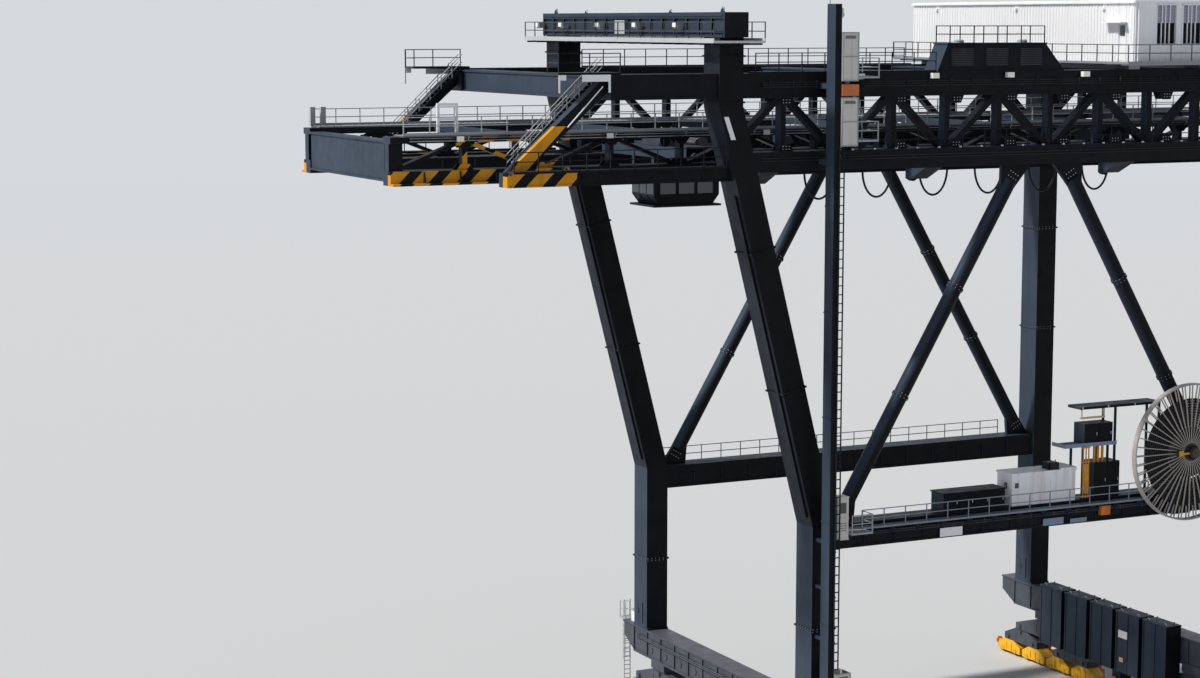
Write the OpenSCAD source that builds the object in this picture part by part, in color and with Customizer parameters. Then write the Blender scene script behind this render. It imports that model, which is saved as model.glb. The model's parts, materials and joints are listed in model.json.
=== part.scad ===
// Rail-mounted low-profile ship-to-shore gantry crane at one tenth of its size.
// X runs across the rails, positive over the water. Y runs along the rails. Z is up.
// The origin is on the rails, halfway between the legs. Millimetres.

/* [Base] */
// Distance between the two rails
gauge = 3048; // [2900:1:3200]
// Distance between the near and far legs along the rails
leg_pitch = 2092; // [2000:1:2200]
// Height of the sill beams' top
sill_top = 575; // [550:1:600]
// Depth of the sill beams
sill_h = 180; // [160:1:200]
// How far the sill beams reach past the legs
sill_over = 163; // [150:1:190]
// How far the bogie groups' centres lie inside the sill beams' ends
corner_in = 500; // [480:1:520]
// Diameter of a rail wheel
wheel_d = 68; // [60:1:74]
// Distance between two wheels
wheel_pitch = 145; // [130:1:150]
// Length of a ballast box
ballast_l = 240; // [200:1:260]

/* [Legs] */
// Leg width across the rails
leg_x = 150; // [130:1:160]
// Leg width along the rails
leg_y = 182; // [160:1:200]
// Height of the portal beams' top
portal_top = 1652; // [1600:1:1700]
// Depth of the portal beams
portal_h = 145; // [120:1:170]
// How far the landside legs lean landward
lean = 626; // [560:1:660]
// Height where the landside legs turn upright again
bend_top = 4060; // [4000:1:4080]
// Diameter of the pipe braces
brace_d = 90; // [70:1:100]

/* [Upper frame] */
// Height of the top chords' upper face
chord_top = 4243; // [4220:1:4280]
// Depth of the top chords
chord_h = 138; // [120:1:150]
// Height of the bottom chords' underside
low_chord_z = 3692; // [3680:1:3710]
// Depth of the bottom chords
low_chord_h = 113; // [100:1:120]
// Width of the chords
chord_w = 150; // [120:1:170]
// Length of a truss panel
panel = 380; // [320:1:440]
// Landward reach of the top chords
truss_land = 2880; // [2800:1:2950]
// Waterward reach of the trusses
truss_water = 2225; // [2150:1:2400]
// How far the raked posts lean landward
post_lean = 540; // [480:1:600]
// How far the striped rear beams run past the raked posts' feet
rear_over = 50; // [30:1:150]
// Depth of the tower beam
tower_h = 138; // [120:1:150]
// Underside of the tower beam
tower_z = 4440; // [4420:1:4480]
// How far the tower beam reaches past the legs
tower_over = 53; // [40:1:60]

/* [Boom] */
// Half length of the boom
boom_half = 3990; // [3900:1:4200]
// Distance from a leg's centre to the boom girder's centre beside it
boom_gap = 396; // [380:1:410]
// Width of a boom girder
boom_w = 110; // [90:1:120]
// Depth of the boom girders
boom_h = 262; // [250:1:264]
// Landward end of the trolley's middle when it is parked
trolley_x = -1900; // [-2000:1:-1800]

/* [House] */
// Landward face of the machinery house
house_x = 550; // [500:1:600]
// Length of the machinery house across the rails
house_l = 1200; // [1100:1:1300]
// How far the machinery house reaches past the legs
house_over = 53; // [30:1:60]
// Height of the machinery house's walls
house_h = 355; // [320:1:380]

/* [Lift and reel] */
// Height of the lift mast's top
mast_top = 4624; // [4600:1:4700]
// Gap between the near landside leg and the lift mast
mast_gap = 63; // [50:1:80]
// Width of the lift car
car_x = 80; // [70:1:84]
// Height of the lift car
car_h = 250; // [230:1:265]
// Outer radius of the cable reel
reel_r = 425; // [400:1:440]
// Gap between the portal beam and the cable reel's middle
reel_gap = 93; // [80:1:110]
// Number of spokes on each side of the reel
reel_spokes = 44; // [36:1:48]

/* [Railings] */
// Height of the railings
rail_h = 105; // [90:1:120]
// Thickness of the railings
rail_t = 5; // [4:0.5:7]

/* [Hidden] */
$fn = 24;
fit = 0.3;
plate_t = 12;
web_set = 8;
rib_t = 6;
rib_pitch = 200;
half_gauge = gauge / 2;
half_pitch = leg_pitch / 2;
leg_face_y = half_pitch + leg_y / 2;
sill_half = leg_face_y + sill_over;
corner_y = sill_half - corner_in;
sill_z = sill_top - sill_h;
sill_w = leg_x;
portal_z = portal_top - portal_h;
portal_face = leg_face_y - 15;
tower_x = half_gauge + lean;
chord_z = chord_top - chord_h;
low_chord_top = low_chord_z + low_chord_h;
truss_y = half_pitch;
inner_y = truss_y - chord_w / 2;
outer_y = truss_y + chord_w / 2;
rear_reach = truss_land + post_lean + rear_over;
boom_y = half_pitch - boom_gap;
boom_z = low_chord_z - 42;
boom_top = boom_z + boom_h;
flange_t = 12;
flange_out = 40;
end_tie = 80;

paint = "#1b232d";
grey = "#5b6470";
yellow = "#e8b020";
orange = "#d9822b";
white = "#f1f1f3";
pale = "#b9bcbc";
cabin = "#c9c6c0";

// A box from its ranges along X, Y and Z
module box(x, y, z) {
    translate([x[0], y[0], z[0]])
        cube([x[1] - x[0], y[1] - y[0], z[1] - z[0]]);
}

module both_ends() {
    children();
    mirror([0, 1, 0])
        children();
}

module both_rails() {
    for (x = [-half_gauge, half_gauge])
        translate([x, 0, 0])
            both_ends()
                children();
}

// Turns a flat outline upright across the rails, as thick as width and centred on y
module upright(y, width) {
    translate([0, y + width / 2, 0])
        rotate([90, 0, 0])
            linear_extrude(width)
                children();
}

// Turns a flat outline upright along the rails, as thick as width and centred on x
module lengthwise(x, width) {
    translate([x - width / 2, 0, 0])
        rotate([90, 0, 90])
            linear_extrude(width)
                children();
}

// A slanted bar in a flat outline, cut square at both ends
module bar_outline(a, b, depth) {
    side = [a[1] - b[1], b[0] - a[0]] / norm(b - a) * depth / 2;
    polygon([a + side, a - side, b - side, b + side]);
}

// Upright railing outline: posts, a top rail and a knee rail
module railing_outline(len, h) {
    count = max(1, round(len / 150));
    step = (len - rail_t) / count;
    difference() {
        square([len, h]);
        for (i = [0 : count - 1]) {
            translate([i * step + rail_t, -1])
                square([step - rail_t, h / 2 - rail_t / 2 + 1]);
            translate([i * step + rail_t, h / 2 + rail_t / 2])
                square([step - rail_t, h / 2 - rail_t * 1.5]);
        }
    }
}

// Railing that runs across the rails, from x0 to x1
module railing_x(x0, x1, y, z, h = rail_h) {
    translate([x0, 0, z])
        upright(y, rail_t)
            railing_outline(x1 - x0, h);
}

// Railing that runs along the rails, from y0 to y1
module railing_y(x, y0, y1, z, h = rail_h) {
    translate([0, y0, z])
        lengthwise(x, rail_t)
            railing_outline(y1 - y0, h);
}

// Plate beam across the rails: webs set in from two flanges, with ribs out to the flanges' edges
module plate_beam_x(x0, x1, half_w, z0, z1, top_t) {
    count = max(1, round((x1 - x0) / rib_pitch));
    step = (x1 - x0 - rib_t) / count;
    box([x0, x1], [-half_w + web_set, half_w - web_set], [z0, z1]);
    box([x0, x1], [-half_w, half_w], [z0, z0 + plate_t]);
    box([x0, x1], [-half_w, half_w], [z1 - top_t, z1]);
    for (i = [0 : count])
        box([x0 + i * step, x0 + i * step + rib_t], [-half_w, half_w], [z0 + 1, z1 - 1]);
}

sill_end_l = 150;
sill_end_h = 80;
pad_h = 50;
pad_half = 90;

// Sill beam: a plate girder with raked ends and a seat block over each bogie group
module sill(x) {
    flat_half = sill_half - sill_end_l;
    ribs = round(2 * flat_half / rib_pitch);
    step = (2 * flat_half - rib_t) / ribs;
    color(grey)
        translate([x, 0, 0]) {
            lengthwise(0, sill_w - 2 * web_set)
                polygon([
                    [-sill_half, sill_top], [sill_half, sill_top],
                    [sill_half, sill_z + sill_end_h], [flat_half, sill_z],
                    [-flat_half, sill_z], [-sill_half, sill_z + sill_end_h]
                ]);
            box([-sill_w / 2, sill_w / 2], [-sill_half, sill_half], [sill_top - plate_t, sill_top]);
            box([-sill_w / 2, sill_w / 2], [-flat_half, flat_half], [sill_z, sill_z + plate_t]);
            for (i = [0 : ribs])
                box([-sill_w / 2, sill_w / 2],
                    [-flat_half + i * step, -flat_half + i * step + rib_t],
                    [sill_z + 1, sill_top - 1]);
            both_ends()
                box([-sill_w / 2, sill_w / 2], [corner_y - pad_half, corner_y + pad_half],
                    [sill_z - pad_h, sill_z + 1]);
        }
}

module sill_landside() {
    sill(-half_gauge);
}

module sill_waterside() {
    sill(half_gauge);
}

main_eq_z = sill_z - pad_h;
main_eq_w = 120;
sub_eq_z = 215;
sub_eq_w = 100;
bogie_top = 112;
pin_out = 8;

// Tapered equalizer beam between its top pin and the pins at its two ends
module equalizer(arm, top, bottom, w, pin_r) {
    lug = 60;
    rise = 45;
    end = 48;
    lengthwise(0, w)
        polygon([
            [-arm - end, bottom], [arm + end, bottom], [arm + end, bottom + rise],
            [lug, top], [-lug, top], [-arm - end, bottom + rise]
        ]);
    for (p = [[0, top - pin_r - 10], [arm, bottom + rise / 2], [-arm, bottom + rise / 2]])
        translate([0, p[0], p[1]])
            rotate([0, 90, 0])
                cylinder(h = w + 2 * pin_out, r = pin_r, center = true);
}

module equalizers() {
    color(grey)
        both_rails()
            translate([0, corner_y, 0]) {
                equalizer(2 * wheel_pitch, main_eq_z, sub_eq_z, main_eq_w, 17);
                for (s = [-1, 1])
                    translate([0, s * 2 * wheel_pitch, 0])
                        equalizer(wheel_pitch, sub_eq_z, bogie_top, sub_eq_w, 11);
            }
}

bogie_w = 92;
bogie_half = 130;
bogie_z = 22;
slot_w = 42;
axle_r = 12;

// Two-wheel bogie: side plates round the wheels, a head block and the bearing caps
module bogie() {
    wheel_r = wheel_d / 2;
    shoulder = 70;
    head = 50;
    difference() {
        lengthwise(0, bogie_w)
            polygon([
                [-bogie_half, bogie_z], [bogie_half, bogie_z], [bogie_half, shoulder],
                [head, bogie_top], [-head, bogie_top], [-bogie_half, shoulder]
            ]);
        for (s = [-1, 1])
            translate([-slot_w / 2, s * wheel_pitch / 2 - wheel_r - 6, 0])
                cube([slot_w, wheel_d + 12, wheel_d + 10]);
    }
    for (s = [-1, 1])
        for (m = [0, 1])
            mirror([m, 0, 0])
                translate([bogie_w / 2 - 1, s * wheel_pitch / 2, wheel_r])
                    rotate([0, 90, 0])
                        cylinder(h = 7, r = axle_r + 4);
}

module bogie_frames() {
    color(yellow)
        both_rails()
            for (k = [-3, -1, 1, 3])
                translate([0, corner_y + k * wheel_pitch, 0])
                    bogie();
}

// Rail wheel: hub, thin web and broad rim
module rail_wheel() {
    tread = 8;
    rim_half = 15;
    rotate([0, 90, 0]) {
        cylinder(h = slot_w, r = axle_r, center = true);
        cylinder(h = 12, r = wheel_d / 2 - tread + 1, center = true, $fn = 32);
        rotate_extrude($fn = 32)
            translate([wheel_d / 2 - tread, -rim_half])
                square([tread, 2 * rim_half]);
    }
}

module rail_wheels() {
    color("dimgray")
        both_rails()
            for (k = [-3.5 : 3.5])
                translate([0, corner_y + k * wheel_pitch, wheel_d / 2])
                    rail_wheel();
}

// Travel drive: a gearbox on the bogie's side and an upright finned motor with its fan cowl
module travel_drive() {
    gear_l = 64;
    gear_half = 40;
    gear_z = [40, 90];
    motor_x = 40;
    motor_r = 21;
    motor_h = 70;
    lengthwise(gear_l / 2, gear_l)
        polygon([
            [-gear_half, gear_z[0] + 14], [-gear_half + 14, gear_z[0]], [gear_half - 14, gear_z[0]],
            [gear_half, gear_z[0] + 14], [gear_half, gear_z[1]], [-gear_half, gear_z[1]]
        ]);
    translate([motor_x, 0, gear_z[1]]) {
        cylinder(h = motor_h, r = motor_r);
        for (i = [0 : 3])
            translate([0, 0, 12 + i * 12])
                cylinder(h = 5, r = motor_r + 3);
        cylinder(h = motor_h + 9, r = motor_r - 5);
    }
}

// Travel drives stand on the outer side of every other bogie
module travel_motors() {
    color(orange)
        for (m = [0, 1])
            mirror([m, 0, 0])
                translate([half_gauge + bogie_w / 2, 0, 0])
                    both_ends()
                        for (k = [-3, 1])
                            translate([0, corner_y + k * wheel_pitch, 0])
                                travel_drive();
}

buffer_z = 62;

// Buffers: a rod and a round pad at both ends of each rail's bogies
module end_buffers() {
    rod_l = 45;
    pad_l = 15;
    color(orange)
        both_rails()
            translate([0, corner_y + 3 * wheel_pitch + bogie_half, buffer_z])
                rotate([-90, 0, 0]) {
                    cylinder(h = rod_l, r = 14);
                    translate([0, 0, rod_l])
                        cylinder(h = pad_l, r = 24);
                }
}

// Storm anchors: a tapered pin housing with lifting trunnions under the middle of each sill
module storm_anchors() {
    foot_z = 30;
    foot_half = 44;
    neck_z = sill_z - 130;
    head_half = 70;
    color(paint)
        for (x = [-half_gauge, half_gauge]) {
            lengthwise(x, 92)
                polygon([
                    [-foot_half, foot_z], [foot_half, foot_z], [foot_half, neck_z],
                    [head_half, sill_z - 60], [head_half, sill_z],
                    [-head_half, sill_z], [-head_half, sill_z - 60], [-foot_half, neck_z]
                ]);
            translate([x, 0, 120])
                rotate([0, 90, 0])
                    cylinder(h = 116, r = 14, center = true);
        }
}

// Ballast boxes with overhanging lids and cover strips down their outer faces
module ballast_boxes() {
    count = 5;
    gap = 40;
    deep = 115;
    lid = 6;
    bottom = sill_z - 160;
    top = sill_top + 65;
    first = -(count * ballast_l + (count - 1) * gap) / 2 - 10;
    color(paint)
        translate([half_gauge - sill_w / 2, 0, 0])
            for (i = [0 : count - 1]) {
                y = first + i * (ballast_l + gap);
                box([-deep, 0], [y, y + ballast_l], [bottom, top]);
                box([-deep - lid, 0], [y - lid, y + ballast_l + lid], [top - 1, top + 9]);
                for (t = [0, 1 / 2, 1])
                    box([-deep - 4, -deep + 1],
                        [y + t * (ballast_l - 10), y + t * (ballast_l - 10) + 10], [bottom, top - 2]);
            }
}

// Cabinets on the landside sill: one beside the near leg, one behind the far leg
module sill_cabinets() {
    near_y = -leg_face_y - 14;
    far_y = leg_face_y + 14;
    roof = 5;
    color(pale)
        translate([-half_gauge, 0, sill_top]) {
            box([-sill_w / 2 - 42, -sill_w / 2], [near_y - 56, near_y], [-70, 45]);
            box([-sill_w / 2 - 42 - roof, -sill_w / 2], [near_y - 56 - roof, near_y], [44, 50]);
            box([-50, 50], [far_y, far_y + 80], [0, 80]);
            box([-50 - roof, 50 + roof], [far_y, far_y + 80 + roof], [79, 85]);
        }
}

// Ladder and platform at the far end of the landside sill
module access_ladder() {
    y0 = sill_half;
    half_w = 58;
    deep = 90;
    post = 4;
    guard = 110;
    stile = 24;
    foot = 100;
    rungs = 16;
    color(pale)
        translate([-half_gauge, 0, 0]) {
            box([-half_w - 2, half_w + 2], [y0, y0 + deep], [sill_top - plate_t, sill_top]);
            for (x = [-half_w, half_w - post]) {
                for (y = [y0 + 2, y0 + deep - 6])
                    box([x, x + post], [y, y + post], [sill_top - 1, sill_top + guard]);
                for (z = [guard / 2, guard - post])
                    box([x, x + post], [y0 + 2, y0 + deep - 2], [sill_top + z, sill_top + z + post]);
            }
            for (x = [-stile, stile - post])
                box([x, x + post], [y0 + deep - 1, y0 + deep + 6], [foot, sill_top + guard]);
            for (i = [0 : rungs - 1])
                box([-stile + 1, stile - 1], [y0 + deep + 1, y0 + deep + 5],
                    [foot + 10 + i * 30, foot + 14 + i * 30]);
        }
}

ring_out = 8;
ring_h = 10;

// Lower box column with its base plate, splice rings and an access door on the landward face
module leg_lower(x, y, top, rings) {
    base_out = 12;
    door = [60, 130];
    color(paint)
        translate([x, y, 0]) {
            box([-leg_x / 2, leg_x / 2], [-leg_y / 2, leg_y / 2], [sill_top, top]);
            box([-leg_x / 2, leg_x / 2], [-leg_y / 2 - base_out, leg_y / 2 + base_out],
                [sill_top, sill_top + plate_t]);
            for (z = rings)
                box([-leg_x / 2 - ring_out, leg_x / 2 + ring_out],
                    [-leg_y / 2 - ring_out, leg_y / 2 + ring_out],
                    [z, z + ring_h]);
            box([-leg_x / 2 - 3, -leg_x / 2 + 1], [-door[0] / 2, door[0] / 2],
                [sill_top + 40, sill_top + 40 + door[1]]);
        }
}

low_ring = (sill_top + portal_z) / 2;
leg_rings = [low_ring, 2400, 3100];

module leg_landside_near() {
    leg_lower(-half_gauge, -half_pitch, portal_top, [low_ring]);
}

module leg_landside_far() {
    leg_lower(-half_gauge, half_pitch, portal_top, [low_ring]);
}

module leg_waterside_near() {
    leg_lower(half_gauge, -half_pitch, chord_top, leg_rings);
}

module leg_waterside_far() {
    leg_lower(half_gauge, half_pitch, chord_top, leg_rings);
}

// Outline of a landside upper leg seen along the rails
module leg_upper_outline() {
    h = leg_x / 2;
    polygon([
        [-half_gauge - h, portal_top], [-half_gauge + h, portal_top],
        [-tower_x + h, bend_top], [-tower_x + h, tower_z],
        [-tower_x - h, tower_z], [-tower_x - h, bend_top]
    ]);
}

// Raked upper leg with splice rings square to it and a cable duct down its landward face
module leg_upper(y) {
    low = [-half_gauge, portal_top];
    high = [-tower_x, bend_top];
    along = (high - low) / norm(high - low);
    width = leg_x * along[1];
    duct = 14;
    duct_top = (low_chord_z - 130 - low[1]) / (high[1] - low[1]);
    duct_foot = low + along * 60 - [leg_x / 2, 0];
    duct_head = low + (high - low) * duct_top - [leg_x / 2, 0];
    color(paint) {
        upright(y, leg_y)
            leg_upper_outline();
        for (t = [1 / 3, 2 / 3])
            upright(y, leg_y + 2 * ring_out)
                bar_outline(low + (high - low) * t - along * ring_h / 2,
                    low + (high - low) * t + along * ring_h / 2, width + 2 * ring_out);
        for (z = [bend_top + 20, chord_top + 90])
            box([-tower_x - leg_x / 2 - ring_out, -tower_x + leg_x / 2 + ring_out],
                [y - leg_y / 2 - ring_out, y + leg_y / 2 + ring_out], [z, z + ring_h]);
        upright(y - leg_y / 4, 34)
            bar_outline(duct_foot, duct_head, 2 * duct);
    }
}

module leg_upper_near() {
    leg_upper(-half_pitch);
}

module leg_upper_far() {
    leg_upper(half_pitch);
}

walk_seat = 34;

// Portal beams run between the legs of one side frame
module portal_beam(y) {
    reach = half_gauge - leg_x / 2;
    color(paint)
        translate([0, y, 0])
            plate_beam_x(-reach, reach, portal_face - half_pitch, portal_z, portal_top, walk_seat);
}

module portal_beam_near() {
    portal_beam(-half_pitch);
}

module portal_beam_far() {
    portal_beam(half_pitch);
}

gusset_in = 62;
brace_foot = [half_gauge - leg_x / 2 - gusset_in, portal_top];
brace_head = [170, low_chord_z];

// Pipe brace between two gusset plates, from the portal beam up to the bottom chord
module brace(sx, y) {
    foot = [sx * brace_foot[0], brace_foot[1]];
    head = [sx * brace_head[0], brace_head[1]];
    dir = (head - foot) / norm(head - foot);
    side = [dir[1], -dir[0]] * sx * 40;
    a = foot + dir * 110;
    b = head - dir * 110;
    len = norm(b - a);
    tilt = 90 - atan2(b[1] - a[1], b[0] - a[0]);
    gusset_t = 24;
    collar = 16;
    color(paint) {
        translate([a[0], y, a[1]])
            rotate([0, tilt, 0]) {
                cylinder(h = len, r = brace_d / 2, $fn = 32);
                for (t = [1 / 3, 2 / 3])
                    translate([0, 0, len * t - collar / 2])
                        cylinder(h = collar, r = brace_d / 2 + 6, $fn = 32);
            }
        upright(y, gusset_t) {
            polygon([
                foot - [sx * 110, 0], foot + [sx * gusset_in, 0],
                a + side + dir * 60, a - side + dir * 60
            ]);
            polygon([
                head - [sx * 90, 0], head + [sx * 120, 0],
                b + side - dir * 60, b - side - dir * 60
            ]);
        }
    }
}

module brace_near_landside() {
    brace(-1, -half_pitch);
}

module brace_near_waterside() {
    brace(1, -half_pitch);
}

module brace_far_landside() {
    brace(-1, half_pitch);
}

module brace_far_waterside() {
    brace(1, half_pitch);
}

web_t = 60;
bar_t = 34;

// Lattice outline: posts and alternating diagonals with broad feet
module web_outline(x0, x1, z0, z1) {
    count = max(1, round((x1 - x0) / panel));
    p = (x1 - x0) / count;
    b = bar_t / 2;
    foot = bar_t * 1.4;
    for (i = [0 : count - 1]) {
        xa = x0 + i * p;
        xb = xa + p;
        polygon([[xa - b, z0], [xa + b, z0], [xa + b, z1], [xa - b, z1]]);
        if (i % 2 == 0)
            polygon([[xa, z0], [xa + foot, z0], [xb, z1], [xb - foot, z1]]);
        else
            polygon([[xb, z0], [xb - foot, z0], [xa, z1], [xa + foot, z1]]);
    }
    polygon([[x1 - 2 * b, z0], [x1, z0], [x1, z1], [x1 - 2 * b, z1]]);
}

module legs_space(y) {
    upright(y, leg_y)
        leg_upper_outline();
    translate([half_gauge, y, 0])
        box([-leg_x / 2, leg_x / 2], [-leg_y / 2, leg_y / 2], [sill_top, chord_top]);
}

// Side frame's truss with a railed walk on its bottom chord, cut where the legs pass
module truss(y) {
    outside = y < 0 ? -1 : 1;
    color(paint)
        difference() {
            union() {
                translate([0, y, 0]) {
                    box([-truss_land, truss_water], [-chord_w / 2, chord_w / 2], [chord_z, chord_top]);
                    box([-tower_x, truss_water], [-chord_w / 2, chord_w / 2], [low_chord_z, low_chord_top]);
                }
                upright(y, web_t)
                    web_outline(-tower_x, truss_water, low_chord_top - 1, chord_z + 1);
                railing_x(-half_gauge, half_gauge, outside * (outer_y - rail_t / 2), low_chord_top - 0.5);
            }
            legs_space(y);
            upright(y, 400)
                polygon([
                    [-half_gauge, portal_top], [-tower_x, bend_top], [-tower_x, chord_z - 0.01],
                    [-tower_x - 400, chord_z - 0.01], [-tower_x - 400, portal_top]
                ]);
        }
}

module truss_near() {
    truss(-truss_y);
}

module truss_far() {
    truss(truss_y);
}

rear_z = low_chord_z - 43;
rear_h = 76;
rear_top = rear_z + rear_h;
rear_w = 110;
rear_post_w = 70;
rear_flange = 10;

// Flanged rear beam with its raked end post
module rear_beam(y) {
    post_foot = [-truss_land - post_lean, rear_top];
    post_head = [-truss_land, chord_top - 45];
    run_on = [60, 50];
    inner_end = -tower_x + 100;
    color(orange)
        difference() {
            union() {
                translate([0, y, 0]) {
                    box([-rear_reach, inner_end], [-rear_w / 2 + 5, rear_w / 2 - 5], [rear_z, rear_top]);
                    box([-rear_reach, inner_end], [-rear_w / 2, rear_w / 2], [rear_z, rear_z + rear_flange]);
                    box([-rear_reach, inner_end], [-rear_w / 2, rear_w / 2],
                        [rear_top - rear_flange, rear_top]);
                    box([-rear_reach - 12, -rear_reach + 1], [-rear_w / 2, rear_w / 2], [rear_z, rear_top]);
                }
                upright(y, rear_post_w)
                    intersection() {
                        bar_outline(post_foot - run_on, post_head + run_on, rear_post_w);
                        translate([-rear_reach, rear_top - 20])
                            square([rear_reach - truss_land, chord_top - rear_top + 20]);
                    }
            }
            legs_space(y);
            translate([-tower_x + 60, y - 200, 0])
                cube([400, 400, chord_top]);
        }
}

module rear_beam_near() {
    rear_beam(-truss_y);
}

module rear_beam_far() {
    rear_beam(truss_y);
}

cross_w = 130;

// Flanged cross beams join the two trusses above the boom
module cross_beams() {
    top = chord_top - 8;
    color(paint)
        for (x = [-truss_land + 75, -0.46 * half_gauge, 0.2 * half_gauge, truss_water - 221]) {
            box([x - cross_w / 2 + web_set, x + cross_w / 2 - web_set], [-inner_y, inner_y], [chord_z, top]);
            for (z = [chord_z, top - plate_t])
                box([x - cross_w / 2, x + cross_w / 2], [-inner_y, inner_y], [z, z + plate_t]);
        }
}

tower_half = leg_face_y + tower_over;
lug_at = [0.859, 0.494, -0.44, -0.96];
lug_size = [20, 12, 12, 20];

// Tower beam: a plate girder with upright ribs between two flanges and lifting lugs on top
module tower_beam() {
    ribs = 16;
    rib = 10;
    step = (2 * tower_half - rib) / ribs;
    color(paint)
        translate([-tower_x, 0, tower_z]) {
            box([-leg_x / 2 + 12, leg_x / 2 - 12], [-tower_half, tower_half], [0, tower_h]);
            box([-leg_x / 2, leg_x / 2], [-tower_half, tower_half], [0, plate_t]);
            box([-leg_x / 2, leg_x / 2], [-tower_half, tower_half], [tower_h - 34, tower_h]);
            for (i = [0 : ribs])
                box([-leg_x / 2, leg_x / 2], [-tower_half + i * step, -tower_half + i * step + rib],
                    [1, tower_h - 1]);
            for (i = [0 : 3])
                translate([0, lug_at[i] * tower_half, tower_h - 1])
                    lengthwise(-leg_x / 2 + 14, 8)
                        lug_outline(lug_size[i]);
        }
}

// Lifting lug: an arch as high as its size, with an eye
module lug_outline(size) {
    difference() {
        polygon([
            [-size, 0], [size, 0], [size * 0.6, size * 0.8], [size * 0.25, size + 1],
            [-size * 0.25, size + 1], [-size * 0.6, size * 0.8]
        ]);
        translate([0, size * 0.5])
            circle(size * 0.22, $fn = 12);
    }
}

walk_half = leg_face_y + 113;
walk_t = 12;
walk_out = 175;
walk_in = 150;
walk_land = tower_x + walk_out;
walk_water = tower_x - walk_in;

// Walkway round the tower, below the tower beam, with the legs passing through it
module tower_walkway() {
    z = tower_z - 30;
    toe = 14;
    color(pale) {
        difference() {
            box([-walk_land, -walk_water], [-walk_half, walk_half], [z, z + walk_t]);
            for (s = [-1, 1])
                translate([-tower_x, s * half_pitch, z])
                    cube([leg_x, leg_y, 100], center = true);
        }
        for (x = [-walk_land + 3, -walk_water - 3]) {
            railing_y(x, -walk_half, walk_half, z + walk_t - 0.5);
            box([x - 1, x + 1], [-walk_half, walk_half], [z + walk_t - 1, z + walk_t + toe]);
        }
    }
}

roller_r = 30;
roller_l = 34;
arm_in = boom_y + boom_w / 2 + flange_out + 8;
roller_at = [-0.81, -0.315, 0.315, 0.81];

// Gusseted brackets on the bottom chords, each with a roller under a boom flange
module boom_rollers() {
    z = boom_z - fit - roller_r;
    arm_l = 120;
    low = boom_z - 44;
    high = low_chord_top - 10;
    color(paint)
        both_ends()
            for (t = roller_at)
                translate([t * truss_water, 0, 0]) {
                    lengthwise(0, arm_l)
                        polygon([
                            [arm_in, low], [arm_in + 50, low], [inner_y, low_chord_z - 6],
                            [inner_y, high], [arm_in + 40, high], [arm_in, high - 50]
                        ]);
                    translate([0, arm_in - 6, z])
                        rotate([90, 0, 0])
                            cylinder(h = roller_l, r = roller_r, $fn = 32);
                    translate([0, arm_in + 1, z])
                        rotate([90, 0, 0])
                            cylinder(h = roller_l + 11, r = 9);
                }
}

house_z = chord_top + 46;
house_half = leg_face_y + house_over;
door_w = 74;
door_h = 222;

// Machinery house with two openings in each end wall, a door under its canopy and roof edges
module machinery_house() {
    recess = 12;
    eave = 8;
    roof_t = 10;
    open_z = [102, 340];
    opens = [[155, 305], [350, 500]];
    color(white)
        translate([house_x, 0, house_z]) {
            difference() {
                box([0, house_l], [-house_half, house_half], [0, house_h]);
                both_ends()
                    for (o = opens)
                        box(o, [house_half - recess, house_half + 1], open_z);
                box([-1, recess / 2], [-house_half + 75, -house_half + 75 + door_w], [4, 4 + door_h]);
            }
            box([-eave, house_l + eave], [-house_half - eave, house_half + eave],
                [house_h, house_h + roof_t]);
            box([-60, 1], [-house_half + 60, -house_half + 260], [door_h + 8, door_h + 16]);
            both_ends()
                for (o = opens)
                    for (t = [0.3, 0.5, 0.7])
                        box([o[0] + t * (o[1] - o[0]) - 3, o[0] + t * (o[1] - o[0]) + 3],
                            [house_half - recess - 1, house_half - 2], [open_z[0] - 1, open_z[1] + 1]);
        }
}

house_walk_l = [110, 100];

// Walkway round the machinery house on three cross supports
module house_walkway() {
    x0 = house_x - house_walk_l[0];
    x1 = house_x + house_l + house_walk_l[1];
    edge = house_half + 90;
    color(pale) {
        for (x = [house_x + 60, house_x + house_l / 2, house_x + house_l - 60])
            box([x - 40, x + 40], [-outer_y, outer_y], [chord_top, house_z - plate_t]);
        difference() {
            box([x0, x1], [-edge, edge], [house_z - plate_t, house_z]);
            box([house_x + 30, house_x + house_l - 30], [-inner_y + 80, inner_y - 80],
                [house_z - 20, house_z + 1]);
        }
        for (s = [-1, 1])
            railing_x(x0, x1, s * (edge - 4), house_z - 0.5);
        railing_y(x0 + 4, -edge + 4, edge - 4, house_z - 0.5);
    }
}

machine_x = [-790, 100];
machine_top_x = [-721, -35];
machine_h = 162;

// Low machinery box with raked ends and a railed roof on the near top chord
module machinery_box() {
    roof = 6;
    color(paint) {
        upright(-truss_y, chord_w - 10)
            polygon([
                [machine_x[0], chord_top], [machine_x[1], chord_top],
                [machine_top_x[1], chord_top + machine_h - roof],
                [machine_top_x[0], chord_top + machine_h - roof]
            ]);
        box([machine_top_x[0] - roof, machine_top_x[1] + roof], [-outer_y, -inner_y],
            [chord_top + machine_h - roof - 1, chord_top + machine_h]);
        for (y = [-outer_y + 4, -inner_y - 4])
            railing_x(machine_top_x[0] + 10, machine_top_x[1] - 10, y, chord_top + machine_h - 0.5, 100);
    }
}

rear_walk = 76;

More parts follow.
